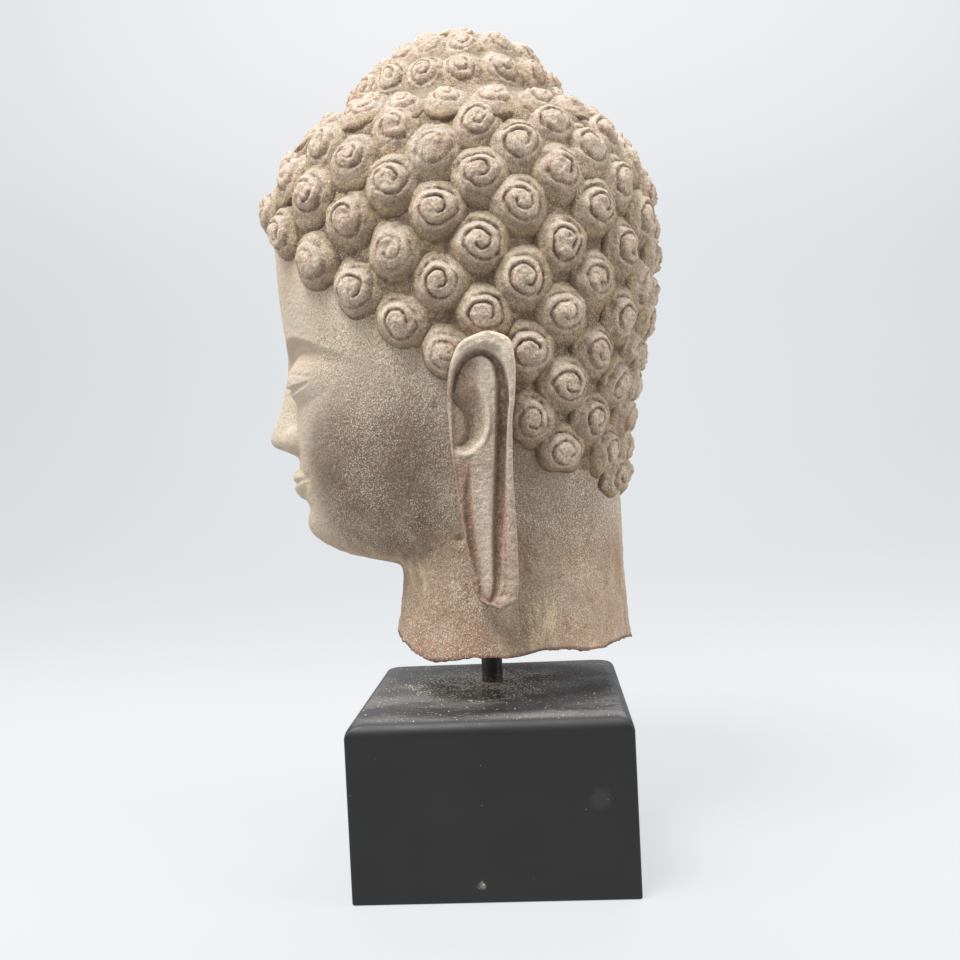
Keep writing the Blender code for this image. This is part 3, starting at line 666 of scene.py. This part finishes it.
def build_curls():
    rng = np.random.default_rng(12)
    groups = {"curls_left": [], "curls_right": [], "curls_crown": []}
    for centre, normal, radius, height in curl_places():
        key = "curls_left" if centre[0] >= HEAD_X else "curls_right"
        if centre[2] > CROWN_GROUP_FROM:
            key = "curls_crown"
        groups[key].append(place_curl(centre, normal, radius, height, rng))
    out = []
    for name, curls in groups.items():
        points, blocks, painted, normals = zip(*curls)
        faces, start = [], 0
        for curl, own in zip(points, blocks):
            for block in own:
                faces += (block + start).tolist()
            start += len(curl)
        flat = enlarge(np.concatenate(points))
        values = {key: np.concatenate([curl[key] for curl in painted]) for key in painted[0]}
        worn = 0.78 + 0.8 * values["rut"] - 0.12 * values["disc"]
        erosion = np.minimum(0.3, layered(flat, 0.0027, 3, 3)) * 0.00085 * worn
        lumps = layered(flat, 0.007, 9, 2) * 0.0008 * (1.0 + 0.5 * ramp(flat[:, 1], 0.02, 0.07))
        flat = flat + np.concatenate(normals) * (erosion + lumps)[:, None]
        out.append(piece(name, flat, faces, values))
    return out


# ---- ears
def smooth_path(path, count):
    """Catmull-Rom curve through a path's rows, columns and all."""
    rows = np.array(path)
    rows = np.concatenate([2 * rows[:1] - rows[1:2], rows, 2 * rows[-1:] - rows[-2:-1]])
    t = np.linspace(0.0, len(path) - 1.0, count)
    i = np.minimum(t.astype(int), len(path) - 2)
    f = (t - i)[:, None]
    a, b, c, d = rows[i], rows[i + 1], rows[i + 2], rows[i + 3]
    return 0.5 * (2 * b + (c - a) * f + (2 * a - 5 * b + 4 * c - d) * f**2 + (3 * b - a - 3 * c + d) * f**3)


def nearest(y, z, line):
    """Distance to a dense line and which of its points is nearest."""
    best = np.full(y.shape, 1e9)
    which = np.zeros(y.shape, int)
    for k, row in enumerate(line):
        d = (y - row[0]) ** 2 + (z - row[1]) ** 2
        closer = d < best
        best = np.where(closer, d, best)
        which = np.where(closer, k, which)
    return np.sqrt(best), which


def stroke(y, z, path, flat=0.4, soft=1.15):
    """Depth of a groove along a path, flat in the middle and soft at its edges."""
    line = smooth_path(path, EAR_PATH_POINTS)
    distance, which = nearest(y, z, line)
    return line[which, 3] * fall(distance / np.maximum(line[which, 2], 1e-4), flat, soft)


def ear_sides(z):
    """Front and back edge at a height, drawn together at the two ends."""
    front = ease(EAR, z, 1)
    back = ease(EAR, z, 2)
    middle = 0.5 * (front + back)
    away = np.maximum(0.0, EAR_END_CAP - np.minimum(z - EAR_LOW, EAR_HIGH - z)) / EAR_END_CAP
    narrow = np.sqrt(np.maximum(0.0, 1.0 - 0.9 * away**2.2))
    return middle + (front - middle) * narrow, middle + (back - middle) * narrow


def ear_rust(y, z, d, flap):
    """Rust-brown wear: the lobe's front band and tip, the upper front, the inside of the flap."""
    front_band = fall(z, 0.222, 0.24) * fall(y, -0.004, -0.0014)
    tip = fall(z, 0.166, 0.186) * np.maximum(0.55, fall(d, 0.0015, 0.004))
    ridge_back = 0.8 * fall(z, 0.2, 0.235) * ramp(y, 0.0105, 0.014)
    upper_front = 0.75 * ramp(z, 0.254, 0.262) * fall(z, 0.276, 0.28) * fall(y, 0.001, 0.006)
    inner_flap = 0.6 * flap * ramp(y, -0.0115, -0.0085)
    lobe = 0.2 * fall(z, 0.225, 0.245)
    return np.maximum.reduce([front_band, tip, ridge_back, upper_front, inner_flap, lobe])


def ear_relief(y, z):
    """Height of the carving over the plane between the ear's edges, its patina, rim, rust and pale marks:
    pale wear, and painted highlight on the crescent ledge and the plateau's back strip.
    """
    heights = EAR_LOW + (EAR_HIGH - EAR_LOW) * half_wave(np.linspace(0.0, 1.0, EAR_EDGE_POINTS))
    front, back = ear_sides(heights)
    line = np.concatenate([np.stack([front, heights], -1), np.stack([back, heights], -1)[::-1]])
    d, which = nearest(y, z, line)
    on_back = which >= EAR_EDGE_POINTS
    breadth = np.where(on_back, ease(RIM, z, 2), ease(RIM, z, 1))
    # Plateau, sloping down to the bowl.
    relief = -0.0022 * ramp(z, 0.225, 0.245) * ramp(-y, -0.0125, 0.01)
    bowl = np.maximum(0.0, 1.0 - ((y + 0.0022) / 0.0108) ** 2 - ((z - 0.2485) / 0.0178) ** 2)
    bowl = 0.005 * bowl * (1.0 - 0.75 * ramp(z, 0.254, 0.268))
    relief = relief - bowl
    # Flap in front of the bowl.
    reach = unit((z - 0.2355) / 0.026)
    flap_edge = -0.0128 + 0.01 * np.sin(np.pi * reach**0.75) ** 0.85
    flap = rise(flap_edge - y, 0.00035) * ramp(z, 0.235, 0.2375) * fall(z, 0.26, 0.2625)
    flap_top = -0.0004 - 0.002 * unit((y + 0.0125) / 0.01)
    relief = relief + (flap_top - relief) * flap
    channel = stroke(y, z, CHANNEL)
    slot = stroke(y, z, LOBE_SLOT, 0.15, 1.2)
    crescent = stroke(y, z, CRESCENT, 0.15, 1.3)
    relief = relief - channel - slot + crescent
    edge = fall(d / breadth, 0.78, 1.12)
    roll = 0.0012 + 0.0008 * ramp(z, 0.262, 0.285)
    relief = relief * (1.0 - edge) + edge * roll * np.where(on_back, 1.0, 0.25 + 0.75 * ramp(z, 0.262, 0.28))
    # Rounded outer edge.
    short = unit(1.0 - d / EAR_EDGE_TURN)
    relief = relief - EAR_EDGE_TURN * (1.0 - np.sqrt(np.maximum(0.0, 1.0 - short**2)))
    patina = unit((channel + 1.2 * slot + 0.55 * bowl * (1.0 - flap)) / 0.004) * (1.0 - edge)
    # Pale marks: painted highlight on the crescent ledge and the plateau's back strip, pale wear on the
    # lobe's ridge.
    crest = 0.75 * unit(crescent / 0.0011)
    blade = 0.45 * ramp(y, 0.0035, 0.006) * ramp(z, 0.235, 0.262) * (1.0 - patina)
    band = 0.55 * bell(y - 0.0035, 0.003) * fall(z, 0.205, 0.235) * ramp(z, 0.158, 0.164)
    pale = np.maximum.reduce([crest, blade, band])
    return relief, patina, edge, ear_rust(y, z, d, flap) * (1.0 - 0.6 * pale), pale


def ear_wall(rim):
    """Rings of points from the rim of the ear's face down into the head."""
    x, y, z = rim.T
    walls = []
    for depth in EAR_WALL:
        inward = x + (EAR_ROOT - x) * depth
        drawn = EAR_MIDDLE_Y + (y - EAR_MIDDLE_Y) * (1.0 + (EAR_ROOT_SCALE - 1.0) * depth)
        lift = depth * (0.004 * (z < 0.156) - 0.002 * (z > 0.29))
        walls.append(np.stack([inward, drawn, z + lift], -1))
    return walls


def build_ear(name, side):
    s = np.linspace(0.0, 1.0, EAR_ROWS)
    v = 0.12 * half_wave(s) + 0.88 * s
    u = np.linspace(0.0, 1.0, EAR_COLUMNS)
    u = 0.45 * half_wave(u) + 0.55 * u
    z = np.repeat((EAR_LOW + (EAR_HIGH - EAR_LOW) * v)[:, None], EAR_COLUMNS, 1)
    front, back = ear_sides(z)
    y = front + (back - front) * u[None, :]
    whole_front, whole_back, near, far = (ease(EAR, z, column) for column in (1, 2, 3, 4))
    across = unit((y - whole_front) / (whole_back - whole_front))
    relief, patina, edge, rust, pale = ear_relief(y, z)
    x = near + (far - near) * across**0.85 + relief
    face = np.stack([x, y, z], -1)
    # The ring of points round the face.
    index = np.arange(EAR_ROWS * EAR_COLUMNS).reshape(EAR_ROWS, EAR_COLUMNS)
    ring = np.concatenate([index[:, 0], index[-1, 1:], index[-2::-1, -1], index[0, -2:0:-1]])
    walls = ear_wall(face.reshape(-1, 3)[ring])
    points = np.concatenate([face.reshape(-1, 3)] + walls)
    count = len(ring)
    belts = [ring] + [index.size + k * count + np.arange(count) for k in range(len(walls))]
    quads = [grid_faces(EAR_ROWS, EAR_COLUMNS, False)]
    for a, b in zip(belts[:-1], belts[1:]):
        quads.append(np.stack([a, b, np.roll(b, -1), np.roll(a, -1)], -1)[:, ::-1])
    quads = np.concatenate(quads)
    cap = belts[-1][::-1]
    if side < 0:
        quads, cap = quads[:, ::-1], cap[::-1]
    points[:, 0] = HEAD_X + side * points[:, 0]
    flat = enlarge(points)
    rest = np.zeros(count * len(walls))
    fade = np.append(np.ones(index.size), rest)
    rough = layered(flat, 0.003, 4, 3) * 0.0002 + layered(flat, 0.012, 6, 2) * 0.0003
    flat[:, 0] += side * rough * fade
    # Rim and pale marks lighter: pale wear, and painted highlight strongest on the rim's upper part.
    upper = ramp(z, 0.262, 0.284)
    bright = np.maximum(edge * np.where(across > 0.5, 0.35 + 0.65 * upper, upper), pale)
    painted = {
        "hollow": np.append(patina.ravel(), rest + 0.3),
        "lip": np.append(bright.ravel(), rest),
        "smooth": np.full(len(points), 0.6),
        "rusty": np.append(rust.ravel(), rest + 0.3),
        # Darker toward the ear's foot: brown weathering with painted shade; the top stays light.
        "dirt_and_shade": 0.24 * fall(points[:, 2], 0.25, 0.285),
    }
    return piece(name, flat, quads.tolist() + [cap.tolist()], painted)


# ---- plinth
def quarter(start, steps):
    """Cosine and sine along a quarter turn."""
    return [(math.cos(turn), math.sin(turn)) for turn in np.linspace(start, start + 0.5 * math.pi, steps + 1)]


def plinth_levels():
    """Height and inset of each ring of the block, from its underside to its top."""
    edge, top = PLINTH_EDGE_ROUND, PLINTH_TOP_ROUND
    shoulder = PLINTH_HEIGHT - top
    foot = [(edge * (1.0 - c), edge * (1.0 - s)) for c, s in quarter(0.0, EDGE_STEPS)]
    wall = [(z, 0.0) for z in (edge + PLINTH_HOLD, 0.5 * PLINTH_HEIGHT, shoulder - PLINTH_HOLD)]
    crest = [(shoulder + top * s, top * (1.0 - c)) for c, s in quarter(0.0, TOP_STEPS)]
    return foot + wall + crest + [(PLINTH_HEIGHT, top + PLINTH_HOLD)]


def build_plinth():
    """A block rounded over along its top and lightly broken along its other edges."""
    levels = plinth_levels()
    points = []
    for level, inset in levels:
        corner = PLINTH_EDGE_ROUND + (0.8 * inset if level > 0.5 * PLINTH_HEIGHT else 0.0)
        middle = (0.5 * PLINTH_SIDE - inset - corner) * math.sqrt(2.0)
        for start in (0.0, 0.5 * math.pi, math.pi, 1.5 * math.pi):
            cx = middle * math.cos(start + 0.25 * math.pi)
            cy = middle * math.sin(start + 0.25 * math.pi)
            arc = [(cx + corner * c, cy + corner * s) for c, s in quarter(start, CORNER_STEPS)]
            # A point just before and just after the arc keeps the flat sides flat.
            along = PLINTH_HOLD * math.cos(start), PLINTH_HOLD * math.sin(start)
            before = (arc[0][0] + along[1], arc[0][1] - along[0])
            after = (arc[-1][0] - along[0], arc[-1][1] - along[1])
            points += [(x, y, level) for x, y in [before] + arc + [after]]
    ring = len(points) // len(levels)
    faces = grid_faces(len(levels), ring, True).tolist() + end_caps(len(levels), ring)
    return piece("plinth_block", np.array(points), faces, {})


# ---- node helpers
def tone(name):
    """A named tone as linear RGBA."""
    shares = [channel / 255.0 for channel in TONES[name]]
    return [c / 12.92 if c <= 0.04045 else ((c + 0.055) / 1.055) ** 2.4 for c in shares] + [1.0]


class Shader:
    """Builds a procedural material: most methods add a node and return its output socket."""

    def __init__(self, name):
        self.mat = bpy.data.materials.new(name)
        self.mat.use_nodes = True
        self.tree = self.mat.node_tree
        self.out = self.tree.nodes["Principled BSDF"]
        self.place = self.add("TexCoord", {}, "Object")
        self.colour = None

    def put(self, socket, value):
        if isinstance(value, bpy.types.NodeSocket):
            self.tree.links.new(value, socket)
        elif value is not None:
            socket.default_value = value

    def add(self, kind, inputs, output, **settings):
        node = self.tree.nodes.new("ShaderNode" + kind)
        for name, value in settings.items():
            setattr(node, name, value)
        for name, value in inputs.items():
            self.put(node.inputs[name], value)
        return node.outputs[output]

    def noise(self, scale, detail=2.0, rough=0.5, stretch=(1.0, 1.0, 1.0), seed=0.0):
        shift = (seed, seed * 0.7, seed * 0.4)
        place = self.add("Mapping", {"Vector": self.place, "Location": shift, "Scale": stretch}, "Vector")
        inputs = {"Vector": place, "Scale": scale, "Detail": detail, "Roughness": rough}
        return self.add("TexNoise", inputs, "Fac")

    def cells(self, scale, seed):
        place = self.add("Mapping", {"Vector": self.place, "Location": (seed, seed, seed)}, "Vector")
        return self.add("TexVoronoi", {"Vector": place, "Scale": scale}, "Distance")

    def painted(self, name):
        return self.add("Attribute", {}, "Fac", attribute_name=name)

    def along(self, axis):
        return self.add("SeparateXYZ", {"Vector": self.place}, axis)

    def facing(self, axis):
        return self.add("SeparateXYZ", {"Vector": self.add("NewGeometry", {}, "Normal")}, axis)

    def span(self, value, low, high, out_low=0.0, out_high=1.0):
        inputs = {"Value": value, "From Min": low, "From Max": high, "To Min": out_low, "To Max": out_high}
        return self.add("MapRange", inputs, "Result", interpolation_type="SMOOTHSTEP")

    def between(self, value, start, end):
        """From one number where the value is 0 to another where it is 1."""
        return self.span(value, 0.0, 1.0, start, end)

    def math(self, operation, a, b=None):
        return self.add("Math", {0: a, 1: b}, "Value", operation=operation)

    def plus(self, a, b):
        return self.math("ADD", a, b)

    def times(self, *factors):
        product = factors[0]
        for factor in factors[1:]:
            product = self.math("MULTIPLY", product, factor)
        return product

    def length(self, a, b):
        return self.math("SQRT", self.plus(self.times(a, a), self.times(b, b)))

    def mix(self, factor, a, b):
        inputs = {"Factor": factor, "A": a, "B": b}
        return self.add("Mix", inputs, "Result", data_type="RGBA", clamp_factor=True)

    def coat(self, name, *shares):
        """Lays a tone over the colour so far, by the product of the shares."""
        self.colour = self.mix(self.times(*shares), self.colour, tone(name))

    def bump(self, height, distance, strength, normal=None):
        inputs = {"Strength": strength, "Distance": distance, "Height": height, "Normal": normal}
        return self.add("Bump", inputs, "Normal")

    def finish(self, roughness, normal, specular):
        inputs = {"Base Color": self.colour, "Roughness": roughness, "Normal": normal}
        for name, value in {**inputs, "Specular IOR Level": specular}.items():
            self.put(self.out.inputs[name], value)
        return self.mat


# ---- materials
def stone_ground(s, neck, blotch, patch):
    """A broad drift of tone, then blotches, and the darker patch on cheek, jaw and lower neck: patina with
    painted shade.
    """
    drift = s.noise(9.0, 2.0, 0.55, seed=3.0)
    s.colour = s.mix(s.span(drift, 0.35, 0.65), tone("grey"), tone("sand"))
    s.coat("ochre", s.span(blotch, 0.42, 0.68), 0.35)
    s.coat("ochre", neck, s.span(blotch, 0.38, 0.66), 0.5)
    s.coat("umber", s.span(patch, 0.55, 0.75), 0.25)
    # The darker patch on cheek, jaw and lower neck: patina with painted shade.
    s.coat("grime_and_shade", s.painted("dirt_and_shade"), s.span(blotch, 0.25, 0.6, 0.7, 1.0), 0.96)


def stone_curls(s, hair, clear, blotch, crumb):
    """Sandy ground, pinkish discs, stained and crumbling grooves."""
    disc, hollow = s.painted("disc"), s.painted("hollow")
    s.coat("hair", hair, 0.75)
    s.coat("disc", disc, 0.35)
    s.coat("skirt", hair, s.between(disc, 1.0, 0.0), s.span(crumb, 0.62, 0.4, 0.3, 0.78))
    blush = s.times(disc, clear, s.span(blotch, 0.4, 0.62, 0.08, 0.62))
    s.coat("blush", blush, s.span(crumb, 0.4, 0.6, 1.0, 0.55))
    s.coat("stain", hollow, clear, s.span(blotch, 0.3, 0.6, 0.6, 1.0), 0.74)
    broken = s.times(s.math("MAXIMUM", s.painted("rut"), s.times(hollow, 0.6)), clear)
    s.coat("crumbs", broken, s.span(crumb, 0.54, 0.44), 0.8)
    s.coat("chalk", broken, 0.6, s.span(crumb, 0.55, 0.62))


def stone_ears(s, patch, crumb):
    rusty = s.painted("rusty")
    s.coat("ear_wear", rusty, s.span(patch, 0.3, 0.62, 0.45, 0.9))
    s.coat("ear_flecks", rusty, 0.85, s.span(crumb, 0.5, 0.6))


def stone_dust_and_shade(s, hair, upward, clear, patch):
    """Dust that has settled, painted shade on what faces down, dust and painted shade in the creases, and
    pale edges: worn on the curls, partly painted highlight on the ears.
    """
    low = s.painted("low")
    s.coat("settled", upward, s.span(patch, 0.3, 0.6, 0.45, 0.85), hair)
    # Painted shade on the curls' lower sides and walls.
    s.coat("shade", s.painted("shade"), s.span(patch, 0.25, 0.65, 0.5, 0.9))
    s.coat("dust", s.span(low, 0.1, 0.65), s.span(patch, 0.35, 0.6), 0.35)
    # Painted shade in the creases where the curls meet the ground and each other.
    s.coat("crease_shade", s.span(low, 0.45, 1.0), s.span(patch, 0.66, 0.42, 0.45, 1.0), clear, 0.9)
    # Pale edges: wear on the curls; on the ears partly painted highlight.
    s.coat("lip", s.painted("lip"), s.span(patch, 0.3, 0.7, 0.4, 0.9), s.between(hair, 1.0, 0.45))


def stone_neck(s, neck, patch):
    streak = s.noise(64.0, 4.0, 0.62, stretch=(1.0, 1.0, 0.35), seed=31.0)
    s.coat("neck", neck, 0.4)
    s.coat("pale_streak", neck, s.span(streak, 0.52, 0.66, 0.0, 0.48))
    s.coat("dark_streak", neck, s.span(streak, 0.47, 0.36, 0.0, 0.5))
    low_front = s.times(s.span(s.along("Z"), 0.15, 0.118), s.span(s.along("Y"), 0.035, 0.0))
    s.coat("low_neck", low_front, s.span(patch, 0.42, 0.62, 0.0, 0.42))
    s.coat("underside", s.painted("under"), 0.92)


def stone_sand(s, hair, neck, clear, grain):
    """Sand grains: pale and dark specks under a millimetre, crisp on the skin, softer on the hair."""
    speckle = s.noise(620.0, 2.0, 0.6, seed=43.0)
    s.coat("speckle", hair, s.span(speckle, 0.53, 0.43, 0.0, 0.3), clear)
    skin = s.times(s.between(hair, 1.0, 0.5), s.between(s.painted("smooth"), 1.0, 0.25))
    skin = s.times(skin, s.between(neck, 1.0, 0.8))
    bare = s.span(s.noise(26.0, 3.0, 0.6, seed=9.0), 0.34, 0.62, 0.35, 0.95)
    s.coat("cream", s.span(grain, 0.52, 0.6), bare, skin, 0.6)
    dark = s.times(s.span(grain, 0.48, 0.39), skin, 0.6)
    s.coat("umber", dark)
    s.coat("rust", dark, s.span(s.noise(240.0, 1.0, 0.5, seed=11.0), 0.56, 0.66), 0.8)


def stone_material():
    s = Shader("carved_stone")
    hair, neck = s.painted("hair"), s.painted("neck")
    blotch = s.noise(46.0, 4.0, 0.62, seed=1.0)
    patch = s.noise(130.0, 3.0, 0.6, seed=5.0)
    crumb = s.noise(420.0, 3.0, 0.62, seed=15.0)
    grain = s.noise(1350.0, 2.0, 0.6, seed=7.0)
    upward = s.span(s.facing("Z"), 0.1, 0.85)
    clear = s.between(upward, 1.0, 0.65)
    stone_ground(s, neck, blotch, patch)
    stone_curls(s, hair, clear, blotch, crumb)
    stone_ears(s, patch, crumb)
    stone_dust_and_shade(s, hair, upward, clear, patch)
    stone_neck(s, neck, patch)
    stone_sand(s, hair, neck, clear, grain)
    fine = s.bump(grain, 0.00035, 0.55)
    crust = s.bump(crumb, 0.0012, 0.75, fine)
    coarse = s.bump(patch, 0.0012, 0.35, crust)
    gritty = s.bump(s.times(s.noise(760.0, 3.0, 0.7, seed=41.0), hair), 0.0011, 0.65, coarse)
    pits = s.bump(s.span(s.cells(210.0, seed=6.0), 0.1, 0.42), 0.0006, 0.25, gritty)
    return s.finish(s.span(grain, 0.2, 0.8, 0.72, 0.92), pits, 0.28)


def plinth_dust(s, smear):
    """Stone dust fallen round the rod, and a thin film over the top. Returns the dust and the film."""
    away = s.length(s.plus(s.along("X"), 0.012), s.plus(s.along("Y"), 0.0075))
    ragged = s.plus(away, s.span(s.noise(90.0, 5.0, 0.75, seed=6.0), 0.3, 0.7, -0.014, 0.014))
    heap = s.span(ragged, 0.03, 0.006)
    strewn = s.span(ragged, 0.06, 0.024)
    on_top = s.times(s.span(s.facing("Z"), 0.8, 0.98), s.span(s.along("Z"), 0.09, 0.094))
    level = s.plus(s.noise(760.0, 2.0, 0.6, seed=12.0), s.between(heap, 0.0, 0.085))
    level = s.plus(level, s.between(strewn, -0.1, 0.0))
    dust = s.times(s.span(level, 0.575, 0.59), on_top)
    film = s.times(on_top, s.span(smear, 0.4, 0.66, 0.05, 0.62))
    s.coat("film", film)
    s.coat("powder", strewn, on_top, 0.3)
    s.coat("fallen", dust)
    s.coat("scattered", s.span(s.cells(110.0, seed=3.0), 0.055, 0.03), 0.75, on_top)
    s.coat("specks", s.span(s.cells(80.0, seed=5.0), 0.028, 0.012), 0.45)
    return dust, film


def plinth_marks(s):
    """A chip low on the left side and a rubbed spot higher up."""
    y, z = s.along("Y"), s.along("Z")
    side = s.span(s.facing("X"), 0.9, 0.99)
    jag = s.span(s.noise(420.0, 3.0, 0.7, seed=21.0), 0.3, 0.7, -0.0008, 0.0008)
    for at_y, at_z, size, strength, name in MARKS:
        reach = s.plus(s.length(s.plus(y, -at_y), s.plus(z, -at_z)), jag)
        s.coat(name, s.span(reach, 1.3 * size, 0.5 * size), side, strength)


def plinth_material():
    s = Shader("plinth_black")
    cloud = s.noise(14.0, 4.0, 0.6, seed=2.0)
    smear = s.noise(30.0, 5.0, 0.65, stretch=(1.0, 0.35, 1.0), seed=8.0)
    s.colour = s.mix(s.span(cloud, 0.3, 0.7), tone("black"), tone("soft_black"))
    dust, film = plinth_dust(s, smear)
    plinth_marks(s)
    roughness = s.plus(s.span(smear, 0.3, 0.7, 0.4, 0.56), s.times(film, 0.5))
    grain = s.bump(s.noise(1400.0, 2.0, 0.5, seed=4.0), 0.00008, 0.35)
    return s.finish(roughness, s.bump(dust, 0.0005, 0.8, grain), 0.45)


def rod_material():
    s = Shader("rod_metal")
    cloud = s.noise(60.0, 4.0, 0.6, seed=2.0)
    grain = s.noise(900.0, 2.0, 0.5, seed=4.0)
    s.colour = s.mix(s.span(cloud, 0.3, 0.7), tone("iron"), tone("warm_iron"))
    s.coat("rod_dust", s.span(s.along("Z"), 0.103, 0.096), s.span(grain, 0.45, 0.6), 0.6)
    return s.finish(s.span(cloud, 0.3, 0.7, 0.36, 0.52), s.bump(grain, 0.00012, 0.4), 0.5)


# ---- studio
def paper_material():
    """Pale paper that glows a little, as a lit sweep does, and less where it bends up."""
    s = Shader("studio_paper")
    s.colour = s.mix(s.noise(1.2), tone("paper"), tone("pale_paper"))
    run = s.math("SUBTRACT", s.along("Z"), s.along("X"))
    dim = s.times(s.span(run, 0.2, 0.95), s.span(run, 3.9, 2.9))
    s.put(s.out.inputs["Emission Color"], s.mix(dim, tone("glow"), tone("dim_glow")))
    s.put(s.out.inputs["Emission Strength"], 1.0)
    return s.finish(0.9, None, 0.1)


def studio():
    """A sheet of paper that runs along the floor and up behind the work."""
    floor_z = CAD_BOX[0][2]
    profile = [(SHEET_FRONT, floor_z)]
    for c, s in quarter(0.0, SHEET_STEPS):
        profile.append((SHEET_WALL - SHEET_BEND * s, floor_z + SHEET_BEND * (1.0 - c)))
    profile.append((SHEET_WALL - SHEET_BEND, SHEET_TOP))
    points = [(x, y, z) for x, z in profile for y in (-SHEET_HALF, SHEET_HALF)]
    faces = [(2 * i, 2 * i + 1, 2 * i + 3, 2 * i + 2) for i in range(len(profile) - 1)]
    sheet = piece("studio_paper", np.array(points), faces, {})
    sheet.data.materials.append(paper_material())


def stand(name, data, place, aim, roll=0.0):
    """A light or camera at a place, turned to look along a direction."""
    obj = bpy.data.objects.new(name, data)
    bpy.context.scene.collection.objects.link(obj)
    turn = aim.to_track_quat("-Z", "Y") @ Quaternion((0.0, 0.0, 1.0), roll)
    obj.matrix_world = Matrix.Translation(place) @ turn.to_matrix().to_4x4()
    return obj


def lights():
    for name, place, target, size, power in LIGHTS:
        data = bpy.data.lights.new(name, "AREA")
        data.shape = "RECTANGLE"
        data.size, data.size_y = size
        data.energy = power
        stand(name, data, Vector(place), Vector(target) - Vector(place))
    world = bpy.data.worlds.new("studio")
    world.use_nodes = True
    sky = world.node_tree.nodes["Background"]
    sky.inputs["Color"].default_value = SKY_COLOUR
    sky.inputs["Strength"].default_value = SKY_STRENGTH
    bpy.context.scene.world = world
    bpy.context.scene.view_settings.view_transform = "Standard"


def camera():
    yaw, pitch, roll = (math.radians(degrees) for degrees in CAMERA_TURN)
    aim = Vector((-math.cos(pitch) * math.cos(yaw), math.cos(pitch) * math.sin(yaw), math.sin(pitch)))
    data = bpy.data.cameras.new("camera")
    data.lens = CAMERA_LENS
    bpy.context.scene.camera = stand("camera", data, Vector(CAMERA_PLACE), aim, roll)


# ---- assembly
def dress(obj, material, node):
    """Gives a piece its material, says which body it rides on, and hides the CAD node it replaces."""
    obj.data.materials.append(material)
    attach(obj, "root")
    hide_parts(node)


def main():
    camera()
    lights()
    studio()
    stone = stone_material()
    head = [build_core()] + build_curls()
    for obj in head + [build_ear("left_ear", 1.0), build_ear("right_ear", -1.0)]:
        dress(obj, stone, "stone_head")
    dress(build_plinth(), plinth_material(), "black_plinth")
    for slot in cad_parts["mounting_rod"].material_slots:
        slot.material = rod_material()


main()
